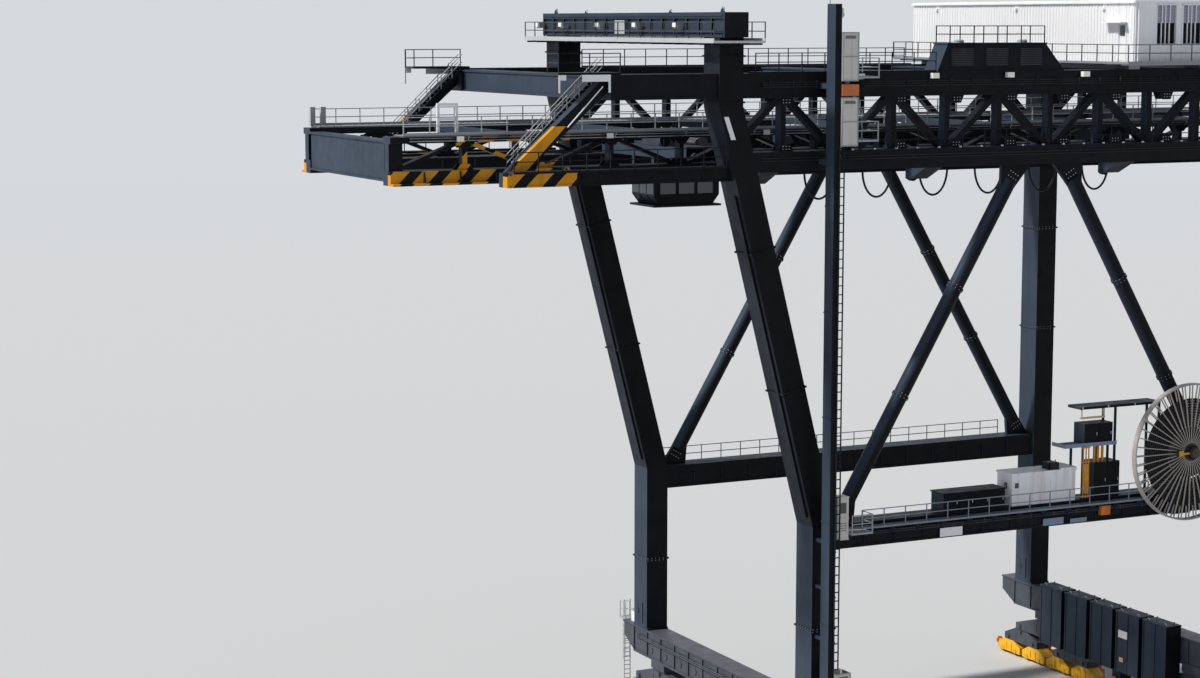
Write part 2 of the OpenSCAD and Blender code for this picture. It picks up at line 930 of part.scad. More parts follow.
// Walks on the top chords, platforms on their landward ends and walks beside the rear beams
module truss_walkway() {
    walk_w = 90;
    plate = 8;
    near = [-1990, machine_x[0] - 10];
    far = [-1990, house_x - house_walk_l[0] - 10];
    end_x = [-truss_land - 310, -truss_land + 60];
    rear_x = [-rear_reach, -tower_x - 35];
    color(paint) {
        box(near, [-outer_y, -outer_y + walk_w], [chord_top, chord_top + plate]);
        railing_x(near[0], near[1], -outer_y + 4, chord_top + plate - 0.5);
        box(far, [outer_y - walk_w, outer_y], [chord_top, chord_top + plate]);
        railing_x(far[0], far[1], outer_y - 4, chord_top + plate - 0.5);
        both_ends() {
            box(end_x, [inner_y, outer_y], [chord_top, chord_top + plate_t]);
            railing_x(end_x[0], end_x[1], outer_y - 4, chord_top + plate_t - 0.5);
            railing_y(end_x[0] + 4, inner_y, outer_y - 4, chord_top + plate_t - 0.5);
            box(rear_x, [truss_y + 39, truss_y + 39 + rear_walk], [rear_top, rear_top + plate_t]);
            railing_x(rear_x[0], rear_x[1], truss_y + 35 + rear_walk, rear_top + plate_t - 0.5);
        }
    }
}

mast_x = -half_gauge - 56;
mast_w = 40;
mast_d = 90;
mast_y = -leg_face_y - mast_gap - mast_d;
car_gap = 6;
shaft_t = 6;
car_d = mast_d - 12;
shaft_x = mast_x + mast_w;
shaft_low_h = 246;
shaft_mid = [low_chord_top + 32, low_chord_top + 304];
shaft_top = [chord_top - 45, chord_top + 226];
ladder_w = 34;
ladder_t = 8;

// Lift mast with a ladder on its edge and brackets to the leg, the portal beam and the truss
module lift_mast() {
    ladder_z = sill_top + shaft_low_h + 25;
    ladder_h = shaft_mid[0] - 25 - ladder_z;
    rungs = round(ladder_h / 50);
    step = (ladder_h - rail_t) / rungs;
    color(paint) {
        box([mast_x, mast_x + mast_w], [mast_y, mast_y + mast_d], [sill_top, mast_top]);
        for (t = [0.13, 0.46, 0.78, 1.07])
            box([mast_x, mast_x + 30], [mast_y + mast_d, -leg_face_y],
                [sill_top + t * (portal_z - sill_top), sill_top + t * (portal_z - sill_top) + 20]);
        for (z = [low_chord_z + 40, chord_z + 50])
            box([mast_x, mast_x + 30], [mast_y + mast_d, -outer_y], [z, z + 30]);
        upright(mast_y - ladder_t / 2 - fit, ladder_t)
            translate([mast_x + mast_w - 8, ladder_z])
                difference() {
                    square([ladder_w, ladder_h]);
                    for (i = [0 : rungs - 1])
                        translate([rail_t, i * step + rail_t])
                            square([ladder_w - 2 * rail_t, step - rail_t]);
                }
    }
}

// One landing: a shaft round the car's way, open at both ends
module shaft(z, flare = 0) {
    w = car_x + 2 * car_gap;
    d = mast_d + 8;
    y0 = mast_y + mast_d / 2 - d / 2;
    difference() {
        box([shaft_x, shaft_x + w + 2 * shaft_t + flare],
            [y0 - shaft_t - flare, y0 + d + shaft_t + flare], z);
        box([shaft_x + shaft_t, shaft_x + shaft_t + w], [y0, y0 + d], [z[0] - 1, z[1] + 1]);
        box([shaft_x - 1, shaft_x + shaft_t + 1], [mast_y + 22, mast_y + mast_d - 22], [z[0] - 1, z[1] + 1]);
    }
}

module lift_shafts() {
    color(cabin) {
        shaft([sill_top, sill_top + shaft_low_h]);
        shaft(shaft_mid);
        shaft([shaft_mid[1] + 8, shaft_top[0] - 18], 4);
        shaft(shaft_top);
    }
}

// Landing platforms beside the lift shafts
module lift_landings() {
    x1 = shaft_x + car_x + 2 * car_gap + 2 * shaft_t;
    landing_l = 140;
    plate = 10;
    seats = [
        [portal_top - 30, -portal_face, -portal_face - 60],
        [low_chord_top + 55, -outer_y, -outer_y],
        [chord_top - 30, -outer_y, -outer_y]
    ];
    color(pale)
        for (s = seats) {
            box([x1, x1 + landing_l], [mast_y - 10, s[1]], [s[0], s[0] + plate]);
            railing_x(x1, x1 + landing_l, mast_y - 7, s[0] + plate - 0.5);
            railing_y(x1 + landing_l - 3, mast_y - 7, s[2], s[0] + plate - 0.5);
        }
}

car_z = 1597;

// Lift car with a roof and a floor plate, held to the mast by two guide shoes
module lift_car() {
    x0 = shaft_x + shaft_t + car_gap;
    y0 = mast_y + (mast_d - car_d) / 2;
    set = 2;
    color(cabin) {
        box([x0 + set, x0 + car_x - set], [y0 + set, y0 + car_d - set], [car_z, car_z + car_h]);
        for (z = [car_z, car_z + car_h / 2 - 4, car_z + car_h - 8])
            box([x0, x0 + car_x], [y0, y0 + car_d], [z, z + 8]);
    }
    color("dimgray")
        for (z = [car_z + 20, car_z + car_h - 50])
            box([shaft_x + fit, x0 + set + 1], [mast_y + 28, mast_y + mast_d - 28], [z, z + 30]);
}

near_walk_x = [shaft_x + 245, 760];
far_walk_x = [-1380, 1300];

// Railed walks along the outer faces of the portal beams
module portal_walkway() {
    walk_w = 60;
    z = portal_top - 30;
    color(pale) {
        box(near_walk_x, [-portal_face - walk_w, -portal_face], [z, z + 10]);
        railing_x(near_walk_x[0], near_walk_x[1], -portal_face - walk_w + 3, z + 9.5);
        box(far_walk_x, [portal_face, portal_face + walk_w], [z, z + 10]);
        railing_x(far_walk_x[0], far_walk_x[1], portal_face + walk_w - 3, z + 9.5);
    }
}

eh_x = -212;
eh_l = 464;
eh_h = 188;

// Electrical house with window and door recesses, roof edge and cooling unit
module electrical_house() {
    deep = 2 * (portal_face - half_pitch);
    step_x = 350;
    eave = 6;
    roof_t = 10;
    door_top = 150;
    window_x = [16, 50];
    window_z = [106, 142];
    end_door = [40, 100];
    side_door = [230, 280];
    unit_x = [276, 345];
    unit_y = [10, 80];
    color(white)
        translate([eh_x, -portal_face, portal_top]) {
            difference() {
                box([0, eh_l], [0, deep], [0, eh_h]);
                box(window_x, [-1, 5], window_z);
                box([-1, 5], end_door, [6, door_top]);
                box(side_door, [-1, 3], [10, door_top]);
            }
            box([-eave, step_x], [-eave, deep + eave], [eh_h - 1, eh_h + roof_t]);
            box([step_x - 1, eh_l + eave], [-eave, deep + eave], [eh_h - 1, eh_h + roof_t + 8]);
            box(unit_x, unit_y, [eh_h + roof_t - 1, eh_h + 50]);
        }
}

// Drive stand behind the reel: cabinets, posts, a platform and a head frame, and a cabinet box
module drive_cabinet() {
    deep = 130;
    post = 12;
    platform_z = 322;
    head_z = 550;
    low_box = [-698, -262];
    low_box_h = 114;
    high_box = [390, 580];
    high_box_h = 218;
    platform = [170, 550];
    platform_posts = [300, 484];
    head_beam = [280, 880];
    head_posts = [536, 868];
    cabinet_x = [320, 530];
    cabinet_h = 127;
    roof = 6;
    plate = 10;
    color(paint)
        translate([0, -portal_face, portal_top]) {
            box(low_box, [0, deep], [0, low_box_h]);
            box([low_box[0] - roof, low_box[1] + roof], [-roof + 1, deep + roof - 1],
                [low_box_h - 1, low_box_h + roof]);
            box(high_box, [0, deep], [0, high_box_h]);
            for (y = [0, deep - post]) {
                for (x = platform_posts)
                    box([x, x + post], [y, y + post], [0, platform_z + 1]);
                box([head_posts[0], head_posts[0] + post], [y, y + post], [high_box_h - 1, head_z + 1]);
                box([head_posts[1], head_posts[1] + post], [y, y + post], [0, head_z + 1]);
            }
            box(platform, [0, deep], [platform_z, platform_z + plate]);
            box(cabinet_x, [post, deep - post], [platform_z + plate - 1, platform_z + plate + cabinet_h - 1]);
            box(head_beam, [0, deep], [head_z, head_z + 16]);
        }
}

reel_x = 1037;
reel_z = 1904;
reel_w = 36;
reel_y = -portal_face - reel_gap;
hub_r = 60;
core_r = 155;
axle_d = 52;
rim_t = 10;
spoke_w = 5;
spoke_t = 8;

// Bracket in front of the portal beam that carries the reel's fixed axle and its end cap
module reel_bracket() {
    plate = 36;
    cap = 12;
    half_w = 70;
    axle_l = -reel_y + reel_w / 2 + cap - portal_face - plate + cap;
    color(paint) {
        upright(-portal_face - plate / 2, plate)
            polygon([
                [reel_x - half_w, portal_z], [reel_x + half_w, portal_z],
                [reel_x + half_w, portal_top + 40], [reel_x + half_w - 25, reel_z + 90],
                [reel_x - half_w + 25, reel_z + 90], [reel_x - half_w, portal_top + 40]
            ]);
        translate([reel_x, -portal_face - plate, reel_z])
            rotate([90, 0, 0])
                cylinder(h = axle_l, r = axle_d / 2);
        translate([reel_x, reel_y - reel_w / 2 - cap, reel_z])
            rotate([90, 0, 0])
                cylinder(h = cap, r = axle_d / 2 + 18);
    }
}

// Cable reel: hub and core, spokes on both sides and the rim
module cable_reel() {
    spoke_z = reel_w / 2 - 1 - spoke_t;
    spoke_x = hub_r - 5;
    spoke_l = reel_r - rim_t + 3 - spoke_x;
    color("#b6a79a")
        translate([reel_x, reel_y, reel_z])
            rotate([90, 0, 0])
                difference() {
                    union() {
                        cylinder(h = reel_w, r = hub_r, center = true);
                        cylinder(h = 2 * spoke_z + 2, r = core_r, center = true, $fn = 48);
                        rotate_extrude($fn = 96)
                            translate([reel_r - rim_t, -reel_w / 2])
                                square([rim_t, reel_w]);
                        for (i = [0 : reel_spokes - 1])
                            rotate([0, 0, i * 360 / reel_spokes])
                                for (z = [-spoke_z - spoke_t, spoke_z])
                                    translate([spoke_x, -spoke_w / 2, z])
                                        cube([spoke_l, spoke_w, spoke_t]);
                    }
                    cylinder(h = reel_w + 2, r = axle_d / 2 + 0.05, center = true);
                }
}

boom_low_h = 76;
boom_up_h = 36;
boom_web = 58;
boom_bar = 26;
boom_bays = 18;
ledge_z = boom_z + 60;

// Flat lattice of the boom: posts and alternating diagonals
module boom_lattice() {
    p = 2 * boom_half / boom_bays;
    z0 = boom_z + boom_low_h - 1;
    z1 = boom_top - boom_up_h + 1;
    b = boom_bar / 2;
    foot = boom_bar * 2;
    for (i = [0 : boom_bays - 1]) {
        xa = -boom_half + i * p;
        xb = xa + p;
        if (i > 0)
            polygon([[xa - b, z0], [xa + b, z0], [xa + b, z1], [xa - b, z1]]);
        if (i % 2 == 0)
            polygon([[xa, z0], [xa + foot, z0], [xb, z1], [xb - foot, z1]]);
        else
            polygon([[xb, z0], [xb - foot, z0], [xa, z1], [xa + foot, z1]]);
    }
    for (x = [-boom_half, boom_half - end_tie])
        translate([x, z0])
            square([end_tie, z1 - z0]);
}

// Boom girder: a lattice between two chords, a roller flange and a ledge for the trolley
module boom_girder(s) {
    color(paint)
        translate([0, s * boom_y, 0]) {
            upright(0, boom_web)
                boom_lattice();
            box([-boom_half, boom_half], [-boom_w / 2, boom_w / 2], [boom_z, boom_z + boom_low_h]);
            box([-boom_half, boom_half], [-boom_w / 2, boom_w / 2], [boom_top - boom_up_h, boom_top]);
            mirror([0, s < 0 ? 1 : 0, 0]) {
                box([-boom_half, boom_half], [boom_w / 2 - 1, boom_w / 2 + flange_out],
                    [boom_z, boom_z + flange_t]);
                box([-boom_half + end_tie, boom_half - end_tie], [-boom_w / 2 - flange_out, -boom_w / 2 + 1],
                    [ledge_z, ledge_z + flange_t]);
            }
        }
}

module boom_girder_near() {
    boom_girder(-1);
}

module boom_girder_far() {
    boom_girder(1);
}

deck_in = 60;
deck_over = 40;
deck_t = 8;

// Walkway with its railing on top of one boom girder
module boom_deck(s) {
    x1 = boom_half - deck_in;
    edge = boom_y + boom_w / 2 + deck_over;
    color(pale)
        mirror([0, s < 0 ? 1 : 0, 0]) {
            box([-x1, x1], [boom_y - boom_w / 2, edge], [boom_top, boom_top + deck_t]);
            railing_x(-x1, x1, edge - 4, boom_top + deck_t - 0.5, 100);
        }
}

module boom_deck_near() {
    boom_deck(-1);
}

module boom_deck_far() {
    boom_deck(1);
}

// Ties and end boxes that join the two boom girders
module boom_ties() {
    side = boom_y - boom_w / 2;
    ties = 10;
    tie_w = 40;
    color(paint) {
        for (s = [-1, 1])
            translate([s * (boom_half - end_tie / 2), 0, 0]) {
                box([-end_tie / 2 + web_set, end_tie / 2 - web_set], [-side, side],
                    [boom_z + 20, boom_top - 20]);
                for (z = [boom_z + 20, boom_top - 20 - plate_t])
                    box([-end_tie / 2, end_tie / 2], [-side, side], [z, z + plate_t]);
            }
        for (i = [1 : ties - 1])
            translate([-boom_half + i * 2 * boom_half / ties, 0, 0])
                box([-tie_w / 2, tie_w / 2], [-side, side], [boom_top - 30, boom_top + deck_t]);
    }
}

// White frame on the near boom deck
module deck_frame() {
    bar = 14;
    w = 122;
    h = 170;
    color(white)
        translate([-boom_half + 274, -boom_y - 50, boom_top + deck_t]) {
            for (x = [0, w - bar])
                box([x, x + bar], [0, bar], [0, h]);
            for (z = [h / 2 - bar / 2, h - bar])
                box([1, w - 1], [1, bar - 1], [z, z + bar]);
        }
}

loop_r = 100;
loop_drop = 60;
loop_pitch = 400;
loops = 6;
cable_r = 6.5;
festoon_y = -boom_y + boom_w / 2 + 16;

// Cable loops hang in a row of half rings under the near girder
module festoon() {
    hanger = [24, 25, 14];
    color("#15181c")
        for (i = [0 : loops - 1])
            translate([-half_gauge + 274 + i * loop_pitch, festoon_y, boom_z - loop_drop]) {
                rotate([-90, 0, 0])
                    rotate_extrude(angle = 180, $fn = 32)
                        translate([loop_r, 0])
                            circle(cable_r, $fn = 16);
                for (s = [-1, 1])
                    translate([s * loop_r, 0, 0]) {
                        cylinder(h = loop_drop, r = cable_r, $fn = 16);
                        translate([-hanger[0] / 2, -16, loop_drop])
                            cube(hanger);
                    }
            }
}

trolley_l = 440;
ledge_top = ledge_z + flange_t;
truck_r = 28;
truck_y = boom_y - boom_w / 2 - 22;
trolley_z = ledge_top + 12;
cab_z = 3450;
cab_top = 3610;
sheave_r = 34;

// Trolley: two side trucks with rollers on the ledges, cross beams and the rope sheaves
module trolley_frame() {
    side_h = 78;
    cross_h = 68;
    cross_half = 20;
    leg_w = 36;
    leg_d = 30;
    color(paint)
        translate([trolley_x, 0, 0]) {
            both_ends() {
                box([-trolley_l / 2, trolley_l / 2], [truck_y - 60, truck_y - 20],
                    [trolley_z, trolley_z + side_h]);
                for (x = [-170, 170])
                    translate([x, truck_y + 12, ledge_top + fit + truck_r])
                        rotate([90, 0, 0]) {
                            cylinder(h = 24, r = truck_r, $fn = 32);
                            cylinder(h = 40, r = 9);
                        }
                for (x = [-200, 200])
                    translate([x, 250, trolley_z + cross_h + sheave_r + 1])
                        rotate([90, 0, 0]) {
                            cylinder(h = 20, r = sheave_r, $fn = 32);
                            translate([0, 0, -6])
                                cylinder(h = 32, r = 8);
                            for (z = [-7, 22])
                                translate([-12, -sheave_r - 2, z])
                                    cube([24, sheave_r + 12, 5]);
                        }
            }
            for (x = [-200, 0, 200])
                box([x - cross_half, x + cross_half], [-truck_y + 59, truck_y - 59],
                    [trolley_z, trolley_z + cross_h]);
            for (x = [-200, 200])
                for (y = [-140, 140 - leg_d])
                    box([x - leg_w / 2, x + leg_w / 2], [y, y + leg_d], [cab_top, trolley_z + 1]);
        }
}

// Operator cab with raked ends, window recesses and a floor plate
module operator_cab() {
    half_l = 218;
    half_w = 145;
    rake = 45;
    sill_lift = 60;
    glass = 4;
    color(paint)
        difference() {
            upright(0, 2 * half_w)
                polygon([
                    [trolley_x - half_l, cab_top], [trolley_x + half_l, cab_top],
                    [trolley_x + half_l, cab_z + sill_lift], [trolley_x + half_l - rake, cab_z],
                    [trolley_x - half_l + rake, cab_z], [trolley_x - half_l, cab_z + sill_lift]
                ]);
            both_ends()
                for (x = [-180, -55, 70])
                    box([trolley_x + x, trolley_x + x + 110], [half_w - glass, half_w + 1],
                        [cab_z + sill_lift, cab_top - 16]);
        }
    color(pale)
        box([trolley_x - half_l - 7, trolley_x + half_l + 7], [-half_w - 15, half_w + 15],
            [cab_z - plate_t, cab_z]);
}

sill_landside();
sill_waterside();
equalizers();
bogie_frames();
rail_wheels();
travel_motors();
end_buffers();
storm_anchors();
ballast_boxes();
sill_cabinets();
access_ladder();
leg_landside_near();
leg_landside_far();
leg_upper_near();
leg_upper_far();
leg_waterside_near();
leg_waterside_far();
portal_beam_near();
portal_beam_far();
brace_near_landside();
brace_near_waterside();
brace_far_landside();
brace_far_waterside();
truss_near();
truss_far();
rear_beam_near();
rear_beam_far();
cross_beams();
tower_beam();
tower_walkway();
boom_rollers();
machinery_house();
house_walkway();
machinery_box();
truss_walkway();
lift_mast();
lift_shafts();
lift_landings();
lift_car();
portal_walkway();
electrical_house();
drive_cabinet();
reel_bracket();
cable_reel();
boom_girder_near();
boom_girder_far();
boom_ties();
boom_deck_near();
boom_deck_far();
deck_frame();
festoon();
trolley_frame();
operator_cab();
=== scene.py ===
import json
import math

import bmesh
import bpy
import numpy as np
from mathutils import Matrix, Vector


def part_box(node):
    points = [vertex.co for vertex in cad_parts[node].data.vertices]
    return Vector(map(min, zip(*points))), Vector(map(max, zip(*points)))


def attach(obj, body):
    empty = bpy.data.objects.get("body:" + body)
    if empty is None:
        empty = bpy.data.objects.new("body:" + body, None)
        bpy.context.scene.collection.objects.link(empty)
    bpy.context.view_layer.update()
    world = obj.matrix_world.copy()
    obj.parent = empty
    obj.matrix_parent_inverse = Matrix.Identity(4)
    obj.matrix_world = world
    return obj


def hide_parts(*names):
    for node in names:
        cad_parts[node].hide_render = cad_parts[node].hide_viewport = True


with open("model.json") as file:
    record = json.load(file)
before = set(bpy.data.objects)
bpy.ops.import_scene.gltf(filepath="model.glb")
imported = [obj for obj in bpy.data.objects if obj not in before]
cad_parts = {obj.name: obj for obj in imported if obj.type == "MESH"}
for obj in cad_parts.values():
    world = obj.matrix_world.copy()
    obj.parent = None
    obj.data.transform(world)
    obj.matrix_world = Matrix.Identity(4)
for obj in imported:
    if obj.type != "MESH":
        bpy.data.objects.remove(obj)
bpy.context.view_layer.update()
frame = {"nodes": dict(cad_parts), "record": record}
print("stage: frame loaded")

spread = np.linspace
both = np.array([-1, 1])


def unit(v):
    # v / |v| along the last axis
    return v / np.maximum(np.linalg.norm(v, axis=-1, keepdims=True), 1e-12)


def at(x, y, z):
    # the place (x, y, z) at every combination of the three, each a number or a list
    return np.stack(np.meshgrid(x, y, z, indexing="ij"), axis=-1).reshape(-1, 3)


def path(x, y, z):
    # the points (x[k], y[k], z[k]), where a plain number holds for every point
    return np.stack(np.broadcast_arrays(x, y, z), axis=-1).astype(float)


def around(centres, offsets):
    # centre + offset for every pair
    return np.add.outer(centres, offsets).ravel()


def circle(count, start=0.0):
    # angle k = start + 2 pi k / count
    return start + 2 * np.pi * np.arange(count) / count


def shells(rings):
    # closed bodies from rings of points (body, step, side): point k of a ring joins point k of the next
    # and its own neighbour k + 1, and the first and last rings are capped
    count, steps, sides = rings.shape[:3]
    index = np.arange(count * steps * sides).reshape(count, steps, sides)
    after = np.roll(index, -1, axis=2)
    walls = np.stack([index[:, :-1], index[:, 1:], after[:, 1:], after[:, :-1]], axis=-1).reshape(-1, 4)
    return rings.reshape(-1, 3), walls.tolist() + index[:, 0].tolist() + index[:, -1, ::-1].tolist()


def boxes(lows, highs):
    # corner = low + (high - low) * (0 or 1 on each axis)
    corners = np.array([[[0, 0, z], [1, 0, z], [1, 1, z], [0, 1, z]] for z in (0, 1)])
    return shells(lows[:, None, None] + (highs - lows)[:, None, None] * corners)


def solids(x, y, z):
    # boxes between the (low, high) of each axis, where a limit may be a list
    return boxes(at(x[0], y[0], z[0]).astype(float), at(x[1], y[1], z[1]).astype(float))


def blocks(centres, size):
    # boxes of one size: corner = centre +- size / 2
    half = np.asarray(size, float) / 2
    return boxes(centres - half, centres + half)


def bars(starts, ends, width, height):
    # square bars: corner = end +- side * width / 2 +- top * height / 2,
    # with side = run x up and top = side x run
    run = unit(ends - starts)
    up = np.where(np.abs(run[:, 2:]) > 0.99, (1.0, 0.0, 0.0), (0.0, 0.0, 1.0))
    side = unit(np.cross(run, up))
    top = np.cross(side, run)
    signs = np.array([[-1, -1], [1, -1], [1, 1], [-1, 1]]) / 2
    ring = side[:, None] * signs[:, :1] * width + top[:, None] * signs[:, 1:] * height
    return shells(np.stack([starts[:, None] + ring, ends[:, None] + ring], axis=1))


def endsOf(x, y, z):
    # the coordinate given as a tuple holds the two ends, the others hold places
    return [at(*[c[k] if isinstance(c, tuple) else c for c in (x, y, z)]) for k in (0, 1)]


def rods(x, y, z, width, height=None):
    # square bars along one axis, from end to end
    return bars(*endsOf(x, y, z), width, height or width)


def rimRods(x, y, z, width, height=None):
    # four bars round a rectangle, whose two spans are tuples
    spans = [k for k, c in enumerate((x, y, z)) if isinstance(c, tuple)]
    sides = [[list(c) if k in spans and k != run else c for k, c in enumerate((x, y, z))] for run in spans]
    return joined(*[rods(*side, width, height) for side in sides])


def tubes(paths, radius, sides=10, reference=(0.31, 0.17, 0.93)):
    # p(k, t) = path(k) + radius * (side * cos t + top * sin t),
    # with side = tangent x reference and top = side x tangent
    paths = np.asarray(paths, float)
    tangent = unit(np.gradient(paths, axis=1))
    side = unit(np.cross(tangent, reference))
    top = np.cross(side, tangent)
    turn = circle(sides)[:, None]
    ring = side[:, :, None] * np.cos(turn) + top[:, :, None] * np.sin(turn)
    return shells(paths[:, :, None] + radius * ring)


def pipes(starts, ends, radius, sides=8):
    # straight tubes through start, middle and end
    return tubes(np.stack([starts, (starts + ends) / 2, ends], axis=1), radius, sides)


def lines(x, y, z, radius, sides=8):
    # straight tubes along one axis, from end to end
    return pipes(*endsOf(x, y, z), radius, sides)


def discs(centres, profile, axis="Z", sides=20):
    # p(k, t) = centre + height(k) along the axis + radius(k) * (cos t, sin t) across it
    profile = np.asarray(profile, float)
    turn = circle(sides)
    local = path(profile[:, :1] * np.cos(turn), profile[:, :1] * np.sin(turn), profile[:, 1:])
    order = {"X": (2, 0, 1), "Y": (1, 2, 0), "Z": (0, 1, 2)}[axis]
    return shells(centres[:, None, None] + local[None][..., order])


def bolts(centres, axis, radius=0.0032, out=0.006):
    # hexagon heads that stand out on both sides of their centre
    return discs(centres, ((radius, -out), (radius, out), (0.6 * radius, out + 0.0008)), axis, 6)


def prisms(outline, out):
    # p = outline + out * (0 or 1)
    outline = np.asarray(outline, float)
    return shells(np.stack([outline, outline + np.asarray(out, float)])[None])


def repeated(part, places):
    # copies of one part: p = vertex + place
    verts, faces = part
    moved = (verts[None] + places[:, None]).reshape(-1, 3)
    return moved, [[i + k * len(verts) for i in face] for k in range(len(places)) for face in faces]


def ribbedSheet(corner, along, up, out, pitch, depth, base=0.002):
    # depth(u) = base + depth * clip(2.2 * cos(2 pi u / pitch) + 0.6, 0, 1),
    # a trapezoid wave over a flat back
    corner, along, up, out = (np.asarray(v, float) for v in (corner, along, up, out))
    length = np.linalg.norm(along)
    count = max(2, int(round(length / pitch)) * 6 + 1)
    u = spread(0, 1, count)
    wave = base + depth * np.clip(2.2 * np.cos(2 * np.pi * u * length / pitch) + 0.6, 0, 1)
    back = corner + u[:, None] * along
    front = back + wave[:, None] * out
    f = np.arange(count - 1)
    b, ft, bt = f + count, f + 2 * count, f + 3 * count
    quads = np.concatenate([np.stack(q, -1) for q in (
        (f, f + 1, ft + 1, ft), (b + 1, b, bt, bt + 1), (b, b + 1, f + 1, f),
        (ft, ft + 1, bt + 1, bt))]).tolist()
    e = count - 1
    ends = [[0, 2 * count, 3 * count, count], [e, e + count, e + 3 * count, e + 2 * count]]
    return np.concatenate([front, back, front + up, back + up]), quads + ends


def gussets(xs, y, levels, offset, thick, foot, top, rise):
    # trapezoid plates on both faces of a chord: (+-foot, z) and (+-top, z + way * rise) at every x
    plates = []
    for z, way in levels:
        for s in both:
            face, tip = y + s * offset, z + way * rise
            plates.append(prisms([(-foot, face, z), (foot, face, z), (top, face, tip), (-top, face, tip)],
                                 (0, s * thick, 0)))
    return repeated(joined(*plates), at(xs, 0, 0))


def joined(*parts):
    # all parts as one, each face number raised by the vertices before its part
    starts = np.cumsum([0] + [len(part[0]) for part in parts])
    faces = [[i + start for i in face] for start, part in zip(starts.tolist(), parts) for face in part[1]]
    return np.concatenate([part[0] for part in parts]), faces


def mirrored(part, axis=1):
    # the same part with one coordinate's sign turned, faces turned round
    verts, faces = part
    return verts * np.where(np.arange(3) == axis, -1, 1), [face[::-1] for face in faces]


def nearAndFar(part):
    # the part and its mirror image, y -> -y
    return joined(part, mirrored(part))


def bothRails(part):
    # the part and its mirror image, x -> -x
    return joined(part, mirrored(part, 0))


def allCorners(part):
    # one corner's part at all four corners
    return nearAndFar(bothRails(part))


def piece(name, part, material, body="frame", smooth=False):
    # one object at the origin with one material, that rides a body
    verts, faces = part
    mesh = bpy.data.meshes.new(name)
    mesh.from_pydata(verts.tolist(), [], faces)
    work = bmesh.new()
    work.from_mesh(mesh)
    bmesh.ops.recalc_face_normals(work, faces=work.faces)
    work.to_mesh(mesh)
    work.free()
    mesh.materials.append(material)
    if smooth:
        mesh.shade_smooth()
        mesh.set_sharp_from_angle(angle=math.radians(35))
    obj = bpy.data.objects.new(name, mesh)
    bpy.context.scene.collection.objects.link(obj)
    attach(obj, body)
    return obj


def toLinear(hexColour):
    # sRGB to linear: c <= 0.04045 ? c / 12.92 : ((c + 0.055) / 1.055) ** 2.4
    parts = [int(hexColour[i:i + 2], 16) / 255 for i in (1, 3, 5)]
    return tuple([c / 12.92 if c <= 0.04045 else ((c + 0.055) / 1.055) ** 2.4 for c in parts] + [1.0])


def addNode(tree, kind, inputs=None, **settings):
    # one node with its settings; an input is a value, or a socket that gets a link
    node = tree.nodes.new(kind)
    for key, value in settings.items():
        setattr(node, key, value)
    for key, value in (inputs or {}).items():
        if isinstance(value, bpy.types.NodeSocket):
            tree.links.new(value, node.inputs[key])
        else:
            node.inputs[key].default_value = value
    return node


def mixColour(tree, factor, a, b):
    # a * (1 - factor) + b * factor
    return addNode(tree, "ShaderNodeMix", {0: factor, 6: a, 7: b}, data_type="RGBA").outputs[2]


def mathNode(tree, operation, a, b=0.0, clamp=False):
    # a and b under one operation
    return addNode(tree, "ShaderNodeMath", {0: a, 1: b}, operation=operation, use_clamp=clamp).outputs[0]


def mapRange(tree, value, low, high, toLow=0.0, toHigh=1.0):
    # toLow + (toHigh - toLow) * clip((value - low) / (high - low), 0, 1)
    return addNode(tree, "ShaderNodeMapRange", {0: value, 1: low, 2: high, 3: toLow, 4: toHigh},
                   clamp=True).outputs[0]


def startMaterial(name):
    # an empty tree with a Principled surface and the Object coordinates
    material = bpy.data.materials.new(name)
    material.use_nodes = True
    tree = material.node_tree
    tree.nodes.clear()
    output = tree.nodes.new("ShaderNodeOutputMaterial")
    shader = tree.nodes.new("ShaderNodeBsdfPrincipled")
    tree.links.new(shader.outputs[0], output.inputs[0])
    coords = tree.nodes.new("ShaderNodeTexCoord").outputs["Object"]
    return material, tree, shader, coords


def facing(tree, axis, low, high):
    # how far the outward normal turns to the axis: clip((normal . axis - low) / (high - low), 0, 1)
    normal = tree.nodes.new("ShaderNodeNewGeometry").outputs["Normal"]
    dot = addNode(tree, "ShaderNodeVectorMath", {0: normal, 1: tuple(unit(np.array(axis, float)))},
                  operation="DOT_PRODUCT").outputs["Value"]
    return mapRange(tree, dot, low, high)


def noise(tree, coords, scale, detail=4.0, stretch=None):
    # cloudy values from 0 to 1, scale patches to the metre, or stretch patches to the metre on each axis
    if stretch:
        coords = addNode(tree, "ShaderNodeMapping", {"Vector": coords, "Scale": stretch}).outputs[0]
    return addNode(tree, "ShaderNodeTexNoise",
                   {"Vector": coords, "Scale": scale, "Detail": detail}).outputs["Fac"]


def heightBand(low, high, bandColour):
    # marks that colour everything where low < z < high
    def paintOver(tree, coords, colour):
        height = addNode(tree, "ShaderNodeSeparateXYZ", {0: coords}).outputs[2]
        inside = mathNode(tree, "MULTIPLY", mathNode(tree, "GREATER_THAN", height, low),
                          mathNode(tree, "LESS_THAN", height, high))
        return mixColour(tree, inside, colour, toLinear(bandColour))
    return paintOver


